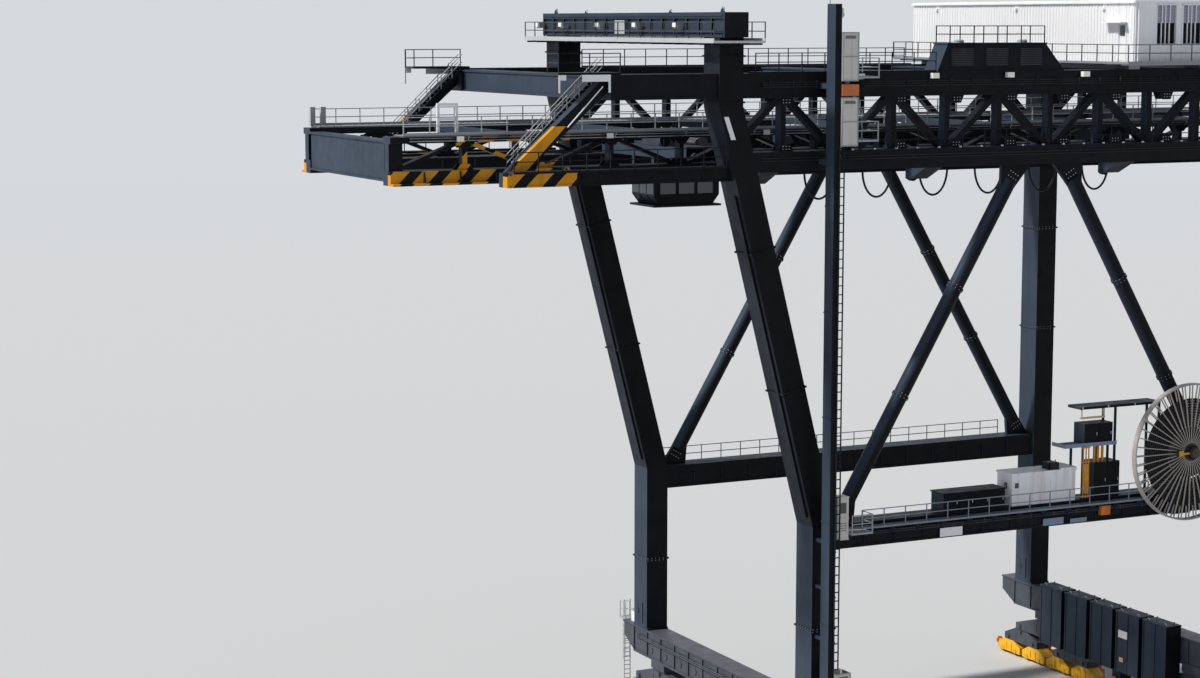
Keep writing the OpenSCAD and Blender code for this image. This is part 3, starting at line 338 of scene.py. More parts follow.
def tailStripes(edgeX, topZ, outerY, upperX=None):
    # warning stripes: fract((x - z) / pitch) < share is dark, where |y| > outerY and x < edgeX
    # and (z < topZ or x > upperX)
    stripeValues = dict(pitch=0.169, share=0.45, orange="#dc9a28", dark="#0d0e10")

    def paintOver(tree, coords, colour):
        axes = addNode(tree, "ShaderNodeSeparateXYZ", {0: coords})
        x, z = axes.outputs[0], axes.outputs[2]
        place = mathNode(tree, "DIVIDE", mathNode(tree, "SUBTRACT", x, z), stripeValues["pitch"])
        dark = mathNode(tree, "LESS_THAN", mathNode(tree, "FRACT", place), stripeValues["share"])
        inside = mathNode(tree, "LESS_THAN", z, topZ)
        if upperX is not None:
            inside = mathNode(tree, "MAXIMUM", inside, mathNode(tree, "GREATER_THAN", x, upperX))
        inside = mathNode(tree, "MULTIPLY", inside, mathNode(tree, "LESS_THAN", x, edgeX))
        aside = mathNode(tree, "GREATER_THAN", mathNode(tree, "ABSOLUTE", axes.outputs[1]), outerY)
        inside = mathNode(tree, "MULTIPLY", inside, aside)
        stripes = mixColour(tree, dark, toLinear(stripeValues["orange"]), toLinear(stripeValues["dark"]))
        return mixColour(tree, inside, colour, stripes)
    return paintOver


def reelCore(x, y, z, radius=0.158, depth=0.0155):
    # the reel is near black where the distance from the axle < radius and |y - centre| < depth, between the
    # spokes
    def paintOver(tree, coords, colour):
        away = addNode(tree, "ShaderNodeVectorMath", {0: coords, 1: (x, y, z)},
                       operation="SUBTRACT").outputs[0]
        axes = addNode(tree, "ShaderNodeSeparateXYZ", {0: away})
        flat = addNode(tree, "ShaderNodeCombineXYZ", {0: axes.outputs[0], 2: axes.outputs[2]}).outputs[0]
        distance = addNode(tree, "ShaderNodeVectorMath", {0: flat}, operation="LENGTH").outputs["Value"]
        inner = mathNode(tree, "LESS_THAN", distance, radius)
        deep = mathNode(tree, "LESS_THAN", mathNode(tree, "ABSOLUTE", axes.outputs[1]), depth)
        return mixColour(tree, mathNode(tree, "MULTIPLY", inner, deep), colour, toLinear("#15161a"))
    return paintOver


def paintMaterial(name, base, paintedSunlitTone, roughness=0.5, dust="#8f8a80", dustAmount=0.25, streakAmount=0.2,
                  streakColour="#1a1712", specular=0.3, marks=None):
    # paint: base as painted shade on the faces turned from the sun, a painted sunlit tone in patches where
    # the faces turn to the sun, marks, rain streaks about 40 mm apart, dust on upward faces and in patches;
    # each is one colour mixed over the last by its own mask
    coatValues = dict(paintedSunlitMask=((-0.9, 0.1, 0.45), 0.1, 0.75), patches=2.6, patchRange=(0.3, 0.7, 0.75, 1.0),
                      streaks=(26, 26, 1.6), streakRange=(0.52, 0.72), top=((0, 0, 1), 0.5, 0.95),
                      grime=9.0, grimeRange=(0.35, 0.75), grimeLeast=0.2, sheen=14.0, sheenRange=(0.3, 0.7),
                      smoother=0.08, rougher=0.12, grain=120.0, strength=0.25, distance=0.0012)
    material, tree, shader, coords = startMaterial(name)
    # painted light: faces that turn to the sun get the painted sunlit tone, the rest keep the base as painted
    # shade
    paintedSunlitMask = facing(tree, *coatValues["paintedSunlitMask"])
    patch = mapRange(tree, noise(tree, coords, coatValues["patches"]), *coatValues["patchRange"])
    colour = mixColour(tree, mathNode(tree, "MULTIPLY", paintedSunlitMask, patch), toLinear(base), toLinear(paintedSunlitTone))
    if marks:
        colour = marks(tree, coords, colour)
    streaks = mapRange(tree, noise(tree, coords, 1.0, 6.0, coatValues["streaks"]),
                       *coatValues["streakRange"], 0.0, streakAmount)
    colour = mixColour(tree, streaks, colour, toLinear(streakColour))
    upward = facing(tree, *coatValues["top"])
    grime = mapRange(tree, noise(tree, coords, coatValues["grime"], 8.0), *coatValues["grimeRange"],
                     coatValues["grimeLeast"] * dustAmount, dustAmount)
    settled = mathNode(tree, "ADD", mathNode(tree, "MULTIPLY", upward, dustAmount), grime, True)
    colour = mixColour(tree, settled, colour, toLinear(dust))
    tree.links.new(colour, shader.inputs["Base Color"])
    rough = mapRange(tree, noise(tree, coords, coatValues["sheen"]), *coatValues["sheenRange"],
                     roughness - coatValues["smoother"], roughness + coatValues["rougher"])
    tree.links.new(rough, shader.inputs["Roughness"])
    shader.inputs["Specular IOR Level"].default_value = specular
    bump = addNode(tree, "ShaderNodeBump", {"Height": noise(tree, coords, coatValues["grain"], 3.0),
                                            "Strength": coatValues["strength"],
                                            "Distance": coatValues["distance"]})
    tree.links.new(bump.outputs[0], shader.inputs["Normal"])
    return material


def plainMaterial(name, base, roughness=0.5, metallic=0.0, specular=0.5, vary=0.15, scale=20.0):
    # one coat with cloudy variation of its tone: base * (1 +- vary)
    material, tree, shader, coords = startMaterial(name)
    tone = mapRange(tree, noise(tree, coords, scale), 0.25, 0.75, 1 - vary, 1 + vary)
    node = addNode(tree, "ShaderNodeVectorMath", {0: toLinear(base)[:3], 3: tone}, operation="SCALE")
    tree.links.new(node.outputs[0], shader.inputs["Base Color"])
    for key, value in (("Roughness", roughness), ("Metallic", metallic), ("Specular IOR Level", specular)):
        shader.inputs[key].default_value = value
    return material


# in each paint from paintMaterial the second colour is a painted sunlit tone on the faces that turn to the
# sun
# black-navy marine coating, near black as painted shade, with a painted sunlit slate where the faces turn to
# the sun
navyCoat = dict(base="#090c11", paintedSunlitTone="#3d4959", dust="#50565f", dustAmount=0.06, specular=0.1)
navyPaint = paintMaterial("navyPaint", **navyCoat)
# the raked upper legs keep a darker coat
darkPaint = paintMaterial("darkPaint", "#080a0e", "#272d36", dust="#454a52", dustAmount=0.05, specular=0.1)
# grey travel beams, brighter and lilac on their dusty tops
greyPaint = paintMaterial("greyPaint", "#1c2027", "#434a55", dust="#676670", dustAmount=0.35)
# bright machine yellow with oil and dirt
yellowPaint = paintMaterial("yellowPaint", "#efae10", "#f8bb1c", 0.42, dust="#a9802c", dustAmount=0.14,
                            streakAmount=0.35, specular=0.4)
# orange drive and buffer paint
orangePaint = paintMaterial("orangePaint", "#dd7415", "#e88a2a", 0.45, dust="#8f6a40", dustAmount=0.15,
                            streakAmount=0.3, specular=0.4)
# pale grey paint of plates and gratings
palePaint = paintMaterial("palePaint", "#9a9fa6", "#b9bdc0", dust="#a7a49b", dustAmount=0.3,
                          streakAmount=0.15)
# white coated steel sheet
whitePaint = paintMaterial("whitePaint", "#eff0f6", "#f6f6f9", 0.42, dust="#e2dfd9", dustAmount=0.12,
                           streakAmount=0.08, streakColour="#b3aea4", specular=0.4)
# the same white with rusty rain streaks
rustedWhite = paintMaterial("rustedWhite", "#f0f1f7", "#fbfbfd", 0.45, dust="#d6cfc4", dustAmount=0.12,
                            streakAmount=0.45, streakColour="#a97b58")
# light grey lift boxes with a rust-orange band between the two upper shafts
liftPaint = paintMaterial("liftPaint", "#cdc9c6", "#e6e2dc", 0.45, dust="#c9c2b6", dustAmount=0.15,
                          streakAmount=0.35, streakColour="#7d6a58",
                          marks=heightBand(4.114, 4.184, "#c06a2c"))
# weathered galvanised steel of the reel, with a dark core behind its spokes
reelPaint = paintMaterial("reelPaint", "#a29a96", "#ded4cb", 0.4, dust="#9a8d80", dustAmount=0.12,
                          specular=0.5, marks=reelCore(1.037, -1.215, 1.904))
# rust-brown paint of the reel's hub plate and slip-ring cover
rustBrown = plainMaterial("rustBrown", "#43302a", 0.6, vary=0.3, scale=60)
# cream paint of the light bar and the ballast label
creamPaint = plainMaterial("creamPaint", "#c9ae84", 0.55, vary=0.12, scale=30)
# forged wheels, bright where they roll
wheelSteel = plainMaterial("wheelSteel", "#77777a", 0.32, 1.0, vary=0.25, scale=60)
# black rubber cable jacket
cableRubber = plainMaterial("cableRubber", "#15171a", 0.65, specular=0.3, vary=0.2, scale=80)
# dark tinted panes
glassDark = plainMaterial("glassDark", "#1d2a33", 0.08, specular=0.8, vary=0.1, scale=6)
# brass of the arm and box beside the slip-ring cover
brass = plainMaterial("brass", "#b08a3a", 0.35, 1.0, vary=0.2, scale=50)
# zinc-coated rails, bolts and pipes
zinc = plainMaterial("zinc", "#a9afb5", 0.45, 0.6, vary=0.2, scale=40)
# lamp glass, bright without shining
lampWhite = plainMaterial("lampWhite", "#fbfbf6", 0.25, specular=0.6, vary=0.02)
# amber plastic of the hoses and pipes beside the reel
amberPaint = plainMaterial("amberPaint", "#c98a26", vary=0.2, scale=30)
# blue-grey paint of the portal grating, small plates and the stand's platform
blueGrey = plainMaterial("blueGrey", "#7687a0", vary=0.12, scale=12)
# lilac-grey paint of the machinery house's louvres
lilacPaint = plainMaterial("lilacPaint", "#a9a8ba", vary=0.08, scale=10)
# near-black painted shade inside openings and vents
paintedShadeDark = plainMaterial("paintedShadeDark", "#17181c", 0.8, specular=0.1, vary=0.3, scale=18)


def deckMaterial(name, plate, rail, splitZ):
    # plate colour below the height splitZ, rail colour above it
    return paintMaterial(name, plate, plate, dust="#a7a49b", dustAmount=0.12, streakAmount=0.1,
                         marks=heightBand(splitZ, 99.0, rail))


boomLow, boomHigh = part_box("boom_girder_near")
rearStripes = paintMaterial("rearStripes", marks=tailStripes(-3.07, 3.97, 1.045), **navyCoat)
girderStripes = paintMaterial("girderStripes", marks=tailStripes(-2.93, 3.727, 0.665, -3.6), **navyCoat)
boomDeck = deckMaterial("boomDeck", "#5d646c", "#aeb3b8", boomHigh[2] + 0.012)
surfaces = {
    "navy_paint": navyPaint, "grey_paint": greyPaint, "yellow_paint": yellowPaint,
    "orange_paint": orangePaint, "pale_paint": palePaint, "white_paint": whitePaint,
    "lift_paint": liftPaint, "reel_paint": reelPaint, "wheel_steel": wheelSteel, "cable_rubber": cableRubber}
ownSurfaces = {
    "leg_upper_near": darkPaint, "leg_upper_far": darkPaint,
    "tower_walkway": deckMaterial("towerWalk", "#c4c8cb", "#2a2f36", 4.437),
    "house_walkway": deckMaterial("houseWalk", "#8b8f95", "#3a3f46", 4.291),
    "portal_walkway": deckMaterial("portalWalk", "#7a8594", "#7a8594", 1.634),
    "electrical_house": rustedWhite, "boom_deck_near": boomDeck, "boom_deck_far": boomDeck,
    "boom_girder_near": girderStripes, "boom_girder_far": girderStripes,
    "rear_beam_near": rearStripes, "rear_beam_far": rearStripes}
slotOfMaterial = {material.name: slot for slot, material in surfaces.items()}
slotOfMaterial.update(darkPaint="navy_paint", girderStripes="navy_paint", rustedWhite="white_paint",
                      rearStripes="stripe_paint")

slotOf = {s["node"]: s["material_slot"] for s in frame["record"]["subparts"]}
for nodeName, obj in frame["nodes"].items():
    obj.data.materials.clear()
    obj.data.materials.append(ownSurfaces.get(nodeName) or surfaces[slotOf[nodeName]])
print("stage: materials")


def makeHouse():
    # ribbed walls round louvred openings and a door, roof seams, gutter, downpipes, lamps and joists
    houseValues = dict(x=(0.55, 1.75), half=1.19, z=(4.289, 4.644), opens=((0.705, 0.855), (0.90, 1.05)),
                       openZ=(4.391, 4.629), ribs=(0.03, 0.005), doorY=(-1.115, -1.041), doorTop=4.515,
                       handle=(-1.052, 4.39, 4.42), pane=((-1.103, -1.053), (4.443, 4.505)), slats=12,
                       eave=0.012, seams=25, lampY=(-0.9, 0.0, 0.9), joists=17,
                       walk=(-0.10, 0.09, 1.2, 1.276))
    x0, x1 = houseValues["x"]
    half = houseValues["half"]
    z0, z1 = houseValues["z"]
    opens = houseValues["opens"]
    low, high = houseValues["openZ"]
    d0, d1 = houseValues["doorY"]
    doorTop = houseValues["doorTop"]
    edges = [x0, *opens[0], *opens[1], x1]
    walls = [(edges[k], edges[k + 1], z0, z1) for k in (0, 2, 4)]
    walls += [(start, end, bottom, top) for start, end in opens for bottom, top in ((z0, low), (high, z1))]
    sheets = [ribbedSheet((start, side * half, bottom), (end - start, 0, 0), (0, 0, top - bottom),
                          (0, side, 0), *houseValues["ribs"])
              for side in both for start, end, bottom, top in walls]
    for x, out, start, end, bottom in ((x0, -1, -half, d0, z0), (x0, -1, d1, half, z0),
                                       (x0, -1, d0, d1, doorTop), (x1, 1, -half, half, z0)):
        sheets.append(ribbedSheet((x, start, bottom), (0, end - start, 0), (0, 0, z1 - bottom), (out, 0, 0),
                                  *houseValues["ribs"]))
    piece("house_cladding", joined(*sheets), whitePaint)

    mid = low + 0.55 * (high - low)
    dark, lilac, frames = [], [], []
    for start, end in opens:
        dark.append(solids((start + 0.004, end - 0.004), (half - 0.011, half - 0.009), (low + 0.004, mid)))
        slats = spread(mid, high - 0.012, houseValues["slats"])
        lilac.append(rods((start + 0.006, end - 0.006), half - 0.007, slats, 0.006))
        frames.append(rimRods((start, end), half + 0.006, (low, high), 0.008))
        thirds = start + np.array([0.3, 0.7]) * (end - start)
        frames.append(rods(thirds, half - 0.003, (mid, high), 0.012, 0.006))
    # the near-black sheets in the lower part of each opening are painted shade of the house's inside
    piece("house_openings", nearAndFar(joined(*dark)), paintedShadeDark)
    piece("house_louvres", nearAndFar(joined(*lilac)), lilacPaint)
    piece("house_opening_frames", nearAndFar(joined(*frames)), whitePaint)

    handleY, *handleZ = houseValues["handle"]
    door = joined(solids((x0 + 0.001, x0 + 0.005), (d0 + 0.003, d1 - 0.003), (z0 + 0.007, doorTop - 0.003)),
                  rods(x0 - 0.004, [d0, d1], (z0 + 0.004, doorTop), 0.008),
                  rods(x0 - 0.004, (d0 - 0.004, d1 + 0.004), doorTop, 0.008),
                  rods(x0 - 0.006, handleY, tuple(handleZ), 0.004))
    piece("house_door", door, whitePaint)
    piece("house_door_window", solids((x0 - 0.0015, x0 + 0.003), *houseValues["pane"]), glassDark)

    eave = houseValues["eave"]
    out = half + eave
    roof = rods(spread(x0 + 0.04, x1 - 0.04, houseValues["seams"]), (-half - 0.004, half + 0.004),
                z1 + 0.0095, 0.004, 0.0008)
    gutter = rimRods((x0 - eave, x1 + eave), (-out, out), z1 - 0.003, eave)
    downpipes = lines([x0 + 0.02, x1 - 0.02], [-out, out], (z1 - 0.008, z0 + 0.003), 0.005)
    piece("house_roof_trim", joined(roof, gutter, downpipes), whitePaint)
    piece("house_wall_lamps", blocks(at(x0 - 0.01, houseValues["lampY"], z1 - 0.037), (0.02, 0.024, 0.015)),
          lampWhite)
    back, front, reach, rim = houseValues["walk"]
    run = (x0 + back, x1 + front)
    joists = joined(rods(run, spread(-reach, reach, houseValues["joists"]), z0 - 0.017, 0.008),
                    rods(run, [-rim, rim], z0 - 0.006, 0.006, 0.02))
    piece("house_walk_joists", joists, palePaint)


def makeTower():
    # floodlights, pale panel, shackles, flanges and conduits on the tower beam, joists under its walkway
    towerValues = dict(x=-2.15, face=-2.225, top=4.578, lampY=(1.17, 0.824, 0.302, -0.189, -0.699),
                       lampZ=4.508, hooks=((1.022, 0.02), (0.588, 0.012), (-0.524, 0.012), (-1.142, 0.02)),
                       half=1.17, panel=((0.03, 0.16), (4.455, 4.535)), flangeZ=[4.446, 4.561],
                       conduitZ=[4.468, 4.478], walk=((-2.32, -2.005), 1.22, 4.404), joists=18)
    x, face, top, z, half = (towerValues[key] for key in ("x", "face", "top", "lampZ", "half"))
    lampY = np.array(towerValues["lampY"])
    arms = rods((face + 0.012, face - 0.03), lampY, z + 0.012, 0.008)
    head = prisms([(face - 0.052, -0.024, z + 0.018), (face - 0.012, -0.024, z + 0.018),
                   (face - 0.018, -0.024, z - 0.018), (face - 0.04, -0.024, z - 0.022)], (0, 0.048, 0))
    glass = solids((face - 0.055, face - 0.044), (lampY - 0.021, lampY + 0.021), (z - 0.012, z + 0.012))
    piece("tower_lamp_heads", joined(repeated(head, at(0, lampY, 0)), arms), palePaint)
    piece("tower_lamp_glass", glass, lampWhite)
    piece("tower_pale_panel", solids((face - 0.003, face + 0.004), *towerValues["panel"]), palePaint)
    turn = spread(-0.3, np.pi + 0.3, 14)
    rings = [path(x - 0.061 + 0.006 * np.sin(turn), y + 0.8 * high * np.cos(turn),
                  top + 0.6 * high + 0.8 * high * np.sin(turn)) for y, high in towerValues["hooks"]]
    piece("tower_shackles", tubes(rings, 0.0028, 8), zinc)
    flange = rods([x - 0.077, x + 0.077], (-half, half), towerValues["flangeZ"], 0.006, 0.01)
    conduit = lines(face + 0.006, (-half, half), towerValues["conduitZ"], 0.004)
    piece("tower_conduits", joined(flange, conduit), navyPaint)
    run, reach, z = towerValues["walk"]
    piece("tower_walk_joists", rods(run, spread(-reach, reach, towerValues["joists"]), z, 0.008, 0.01),
          navyPaint)


def makeTrusses():
    # gussets with bolts, chord stiffeners, conduits with clamps, lamps, rail feet and cross beam flanges
    trussValues = dict(y=-1.046, outer=-1.121, chords=((3.805, 1), (4.105, -1)), panel=0.38, first=-2.15,
                       leg=1.524, plate=dict(offset=0.03, thick=0.005, foot=0.05, top=0.03, rise=0.045),
                       ribs=(-2.7, 2.1, 25), ribZ=(4.107, 4.241), stripX=(-2.87, 1.44), stripZ=[4.112, 4.236],
                       runX=(-1.95, 1.43), clamps=(-1.9, 1.4, 23), clampZ=(4.158, 4.2),
                       lampX=[-1.33, -0.83, -0.31, 0.23], lampZ=4.22, runZ=(4.19, 4.178, 4.166),
                       lowRunZ=[3.77, 3.755], feet=(-1.5, 1.42, 21), foot=(-1.1155, 3.809),
                       nodeRange=(-2.0, 2.2), crossX=(-2.805, -0.701, 0.305, 2.004), cross=(-0.967, 4.17),
                       crossBolts=(-0.962, (4.13, 4.17, 4.21)))
    y, outer, leg = trussValues["y"], trussValues["outer"], trussValues["leg"]
    nodes = trussValues["first"] + trussValues["panel"] * np.arange(12)
    first, last = trussValues["nodeRange"]
    nodes = nodes[(nodes > first) & (nodes < last) & (np.abs(nodes - leg) > 0.14)]
    heads = [bolts(at((-0.02, 0.0, 0.02), y - 0.038, (z + way * 0.012, z + way * 0.028)), "Y", out=0.003)
             for z, way in trussValues["chords"]]
    piece("truss_gussets", nearAndFar(gussets(nodes, y, trussValues["chords"], **trussValues["plate"])),
          navyPaint)
    piece("truss_bolts", nearAndFar(repeated(joined(*heads), at(nodes, 0, 0))), zinc)
    ribs = spread(*trussValues["ribs"])
    ribs = ribs[(np.abs(ribs - leg) > 0.1) & (np.abs(ribs - trussValues["first"]) > 0.1)]
    stiff = joined(solids((ribs - 0.003, ribs + 0.003), (outer - 0.002, outer + 0.001), trussValues["ribZ"]),
                   rods(trussValues["stripX"], outer - 0.0025, trussValues["stripZ"], 0.005, 0.012))
    piece("chord_stiffeners", nearAndFar(stiff), navyPaint)
    runX = trussValues["runX"]
    runs = [lines(runX, outer - 0.005 - 0.004 * k, z, 0.004) for k, z in enumerate(trussValues["runZ"])]
    runs.append(lines(runX, outer - 0.005, trussValues["lowRunZ"], 0.004))
    clamps = spread(*trussValues["clamps"])
    clamp = solids((clamps - 0.004, clamps + 0.004), (outer - 0.019, outer + 0.001), trussValues["clampZ"])
    piece("truss_conduits", nearAndFar(joined(*runs)), cableRubber)
    piece("truss_conduit_clamps", nearAndFar(clamp), navyPaint)
    lampX, lampZ = trussValues["lampX"], trussValues["lampZ"]
    piece("truss_lamps", joined(blocks(at(lampX, outer - 0.029, lampZ), (0.044, 0.03, 0.03)),
                                rods(lampX, (outer - 0.019, outer + 0.001), lampZ, 0.01)), lampWhite)
    feet = at(spread(*trussValues["feet"]), *trussValues["foot"])
    piece("truss_rail_feet", nearAndFar(blocks(feet, (0.016, 0.011, 0.008))), zinc)
    crossX = trussValues["crossX"]
    ends = joined(blocks(at(crossX, *trussValues["cross"]), (0.15, 0.006, 0.11)),
                  bolts(at(around(crossX, (-0.06, 0.06)), *trussValues["crossBolts"]), "Y", out=0.004))
    piece("cross_beam_flanges", nearAndFar(ends), navyPaint)


def makeRearBeams():
    # stairs with handrails run up the raked posts, as steps between two stringers
    rearValues = dict(foot=(-3.42, 3.725), head=(-2.88, 4.243), steps=22, y=(-1.011, -0.955), rise=0.095,
                      knee=0.045, fasciaY=(-1.125, -1.1205), fasciaTop=4.2435,
                      fascia=((-3.052, -2.895, 4.207), (-3.18, -3.147, 4.215), (-3.19, -3.182, 4.148),
                              (-2.895, -2.883, 4.148)), stay=((-2.92, -1.104, 4.18), (-3.13, -1.104, 3.965)),
                      plates=((-3.462, -2.93, -2.3), -1.099, 3.687),
                      web=((-3.46, 3.722), (-3.36, 3.722), (-3.39, 3.78), (-3.44, 3.78)),
                      webY=(-1.085, -1.011))
    footX, footZ = rearValues["foot"]
    headX, headZ = rearValues["head"]
    rise = rearValues["rise"]
    run = spread(0.03, 0.97, rearValues["steps"])
    xs, zs = footX + run * (headX - footX), footZ + run * (headZ - footZ)
    ys = rearValues["y"]
    steps = repeated(solids((-0.012, 0.012), ys, (0, 0.004)), path(xs, 0, zs))
    stringers = bars(at(footX, ys, footZ + 0.01), at(headX, ys, headZ - 0.01), 0.004, 0.02)
    lifts = np.array([rise, rise - rearValues["knee"]])
    rails = pipes(at(footX, ys, footZ + lifts), at(headX, ys, headZ - 0.01 + lifts), 0.0028)
    feet = np.concatenate([path(xs[1::3], y, zs[1::3]) for y in ys])
    posts = bars(feet, feet + (0, 0, rise), 0.004, 0.004)
    piece("raked_stair_steps", nearAndFar(joined(steps, stringers)), navyPaint)
    piece("raked_stair_rails", nearAndFar(joined(rails, posts)), palePaint)
    strips = [solids((start, end), rearValues["fasciaY"], (low, rearValues["fasciaTop"]))
              for start, end, low in rearValues["fascia"]]
    stay = pipes(*np.array(rearValues["stay"])[:, None], 0.0035)
    piece("landing_fascia", nearAndFar(joined(*strips, stay)), whitePaint)
    plates = blocks(at(*rearValues["plates"]), (0.012, 0.004, 0.07))
    webs = [prisms([(x, y, z) for x, z in rearValues["web"]], (0, 0.004, 0)) for y in rearValues["webY"]]
    piece("rear_beam_gussets", nearAndFar(joined(plates, *webs)), rearStripes)


def makeBoom():
    # gussets, cable tray, grating, ribs, rails, stops and lamps follow the girder's own box
    boomValues = dict(bays=18, w=0.055, chords=(0.076, 0.036), ledge=0.06, tie=0.08, slats=197, ribs=37,
                      plate=dict(offset=0.029, thick=0.004, foot=0.05, top=0.025, rise=0.032),
                      lampX=(1.7, 2.7, 3.6), tailBoxes=(0.06, 0.125))
    half, bottom, top = boomHigh[0], boomLow[2], boomHigh[2]
    y, w, ledge = (boomLow[1] + boomHigh[1]) / 2, boomValues["w"], bottom + boomValues["ledge"]
    low, high = boomValues["chords"]
    xs = -half + 2 * half / boomValues["bays"] * np.arange(1, boomValues["bays"])
    plates = gussets(xs, y, ((bottom + low, 1), (top - high, -1)), **boomValues["plate"])
    piece("boom_gussets", nearAndFar(plates), girderStripes, "boom")
    end, outer = half - 0.11, y - w
    tray = joined(rods((-end, end), outer - 0.003, [top - 0.025, top - 0.01], 0.006, 0.004),
                  solids((xs - 0.004, xs + 0.004), (outer - 0.036, outer), (top - 0.006, top - 0.001)),
                  solids((xs - 0.002, xs + 0.002), (outer - 0.026, outer), (top - 0.022, top - 0.002)))
    piece("boom_cable_tray", nearAndFar(tray), zinc, "boom")
    cables = lines((-end, end), [outer - 0.012, outer - 0.02], top - 0.0175, 0.0035)
    piece("boom_cables", nearAndFar(cables), cableRubber, "boom")
    grate = rods(spread(-half + 0.07, half - 0.07, boomValues["slats"]), (y - 0.09, y + 0.05), top + 0.0085,
                 0.004, 0.003)
    toe = solids((-half + 0.06, half - 0.06), (y - 0.0945, y - 0.0925), (top + 0.008, top + 0.022))
    piece("boom_deck_grating", nearAndFar(joined(grate, toe)), palePaint, "boom")
    stations = spread(-half + 0.19, half - 0.19, boomValues["ribs"])
    under = prisms([(0, 0, 0), (0, 0, 0.06), (0, -0.012, 0.06), (0, -0.03, 0.0)], (0.004, 0, 0))
    over = prisms([(0, 0, 0), (0, 0, -0.048), (0, 0.012, -0.048), (0, 0.03, 0.0)], (0.004, 0, 0))
    ribs = joined(repeated(under, at(stations, outer, bottom + 0.012)),
                  repeated(over, at(stations, y + w, ledge)))
    piece("boom_flange_ribs", nearAndFar(ribs), navyPaint, "boom")
    railY, reach = y + w + 0.025, half - boomValues["tie"] - 0.005
    rails = rods((-reach, reach), railY, ledge + 0.0145, 0.014, 0.005)
    piece("trolley_rails", nearAndFar(rails), wheelSteel, "boom")
    stops = discs(at((-half + 0.09, half - 0.09), (railY, -railY), bottom + 0.112),
                  ((0.018, -0.012), (0.018, 0.012)), "X", 16)
    piece("boom_end_stops", stops, orangePaint, "boom")
    lamps = blocks(at(np.outer(both, boomValues["lampX"]).ravel(), y - 0.094, top - 0.014),
                   (0.04, 0.008, 0.028))
    piece("boom_lamps", nearAndFar(lamps), lampWhite, "boom")
    tails = at(np.array(boomValues["tailBoxes"]) - half, 0.07 - y, top + 0.063)
    piece("boom_tail_boxes", blocks(tails, (0.03, 0.026, 0.11)), palePaint, "boom")


def makeFestoon():
    # one hanging cable per loop: half an ellipse of half width a and depth d, z = top - d * sin t
    festoonValues = dict(first=0.112, pitch=0.4, count=6, half=0.1, depth=0.16, thick=0.013, inward=0.071)
    a, d, thick = festoonValues["half"], festoonValues["depth"], festoonValues["thick"]
    top = boomLow[2]
    y = (boomLow[1] + boomHigh[1]) / 2 + festoonValues["inward"]
    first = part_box("festoon")[0][0] + festoonValues["first"]
    turn = spread(0, np.pi, 41)
    clips = []
    for k in range(festoonValues["count"]):
        centre = first + k * festoonValues["pitch"]
        arc = path(centre - a * np.cos(turn), y, top + 0.0005 - d * np.sin(turn))
        tube = tubes([arc], thick / 2, 12, (0, 1, 0))
        loop = piece("festoon_loop_%d" % (k + 1), tube, cableRubber, "boom", True)
        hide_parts("festoon")
        ends = at((centre - a, centre + a), y - 0.0035, top + 0.007)
        clips.append(blocks(ends, (0.024, 0.025, 0.014)))
        clips.append(discs(ends + (0, 0, 0.011), ((0.007, -0.012), (0.007, 0.012)), "Y", 14))
    piece("festoon_clamps", joined(*clips), zinc, "boom")


def makeTrolley():
    # cab panes and mullions, hoist drum with its rope and a cabinet on the trolley
    trolleyValues = dict(x=-1.9, deckZ=3.802, sideY=0.1415, sideX=(-0.18, -0.055, 0.07), endX=0.2185,
                         endY=(-0.135, -0.04, 0.055), postY=(-0.14, -0.047, 0.047, 0.14), paneZ=(3.514, 3.59),
                         endPaneZ=(3.515, 3.60), mullionZ=[3.512, 3.592], postTop=3.507,
                         postFoot=(0.1755, 3.452), drumX=0.09, drumY=0.16, ropes=30, standY=(-0.17, 0.17))
    x, deck, y, end = (trolleyValues[key] for key in ("x", "deckZ", "sideY", "endX"))
    starts = x + np.array(trolleyValues["sideX"])
    paneY = np.array(trolleyValues["endY"])
    posts = at(0, trolleyValues["postY"], 0)
    panes = nearAndFar(solids((starts + 0.004, starts + 0.106), (y, y + 0.0015), trolleyValues["paneZ"]))
    mullionZ = trolleyValues["mullionZ"]
    mullions = [nearAndFar(rods((start, start + 0.11), y + 0.002, mullionZ, 0.004)) for start in starts]
    footX, footZ = trolleyValues["postFoot"]
    endPanes = []
    for s in both:
        near, far = sorted((x + s * end, x + s * (end + 0.001)))
        endPanes.append(solids((near, far), (paneY, paneY + 0.08), trolleyValues["endPaneZ"]))
        mullions.append(bars(posts + (x + s * end, 0, trolleyValues["postTop"]),
                             posts + (x + s * footX, 0, footZ), 0.004, 0.004))
    piece("cab_panes", joined(panes, *endPanes), glassDark, "trolley")
    piece("cab_mullions", joined(*mullions), navyPaint, "trolley")
    middle = x + trolleyValues["drumX"]
    flange = trolleyValues["drumY"]
    inner, wound, standY = flange - 0.01, flange - 0.015, trolleyValues["standY"]
    drum = discs(at(middle, 0, deck + 0.002),
                 ((0.045, -flange), (0.045, -inner), (0.032, -inner), (0.032, inner),
                  (0.045, inner), (0.045, flange)), "Y", 28)
    rope = discs(at(middle, spread(-wound, wound, trolleyValues["ropes"]), deck + 0.002),
                 ((0.033, -0.0035), (0.0365, 0.0), (0.033, 0.0035)), "Y", 24)
    feet = blocks(at(middle, standY, deck + 0.013), (0.06, 0.012, 0.034))
    cross = blocks(at(middle + 0.0125, standY, deck - 0.01), (0.175, 0.016, 0.016))
    piece("trolley_winch", joined(drum, rope, feet, cross), wheelSteel, "trolley")
    case = joined(solids((x - 0.17, x - 0.05), (-0.11, 0.11), (deck - 0.001, deck + 0.06)),
                  solids((x - 0.175, x - 0.045), (-0.115, 0.115), (deck + 0.06, deck + 0.065)),
                  blocks(at(x - 0.1025, (-0.09, 0.09), deck - 0.009), (0.175, 0.016, 0.017)))
    piece("trolley_cabinet", case, greyPaint, "trolley")


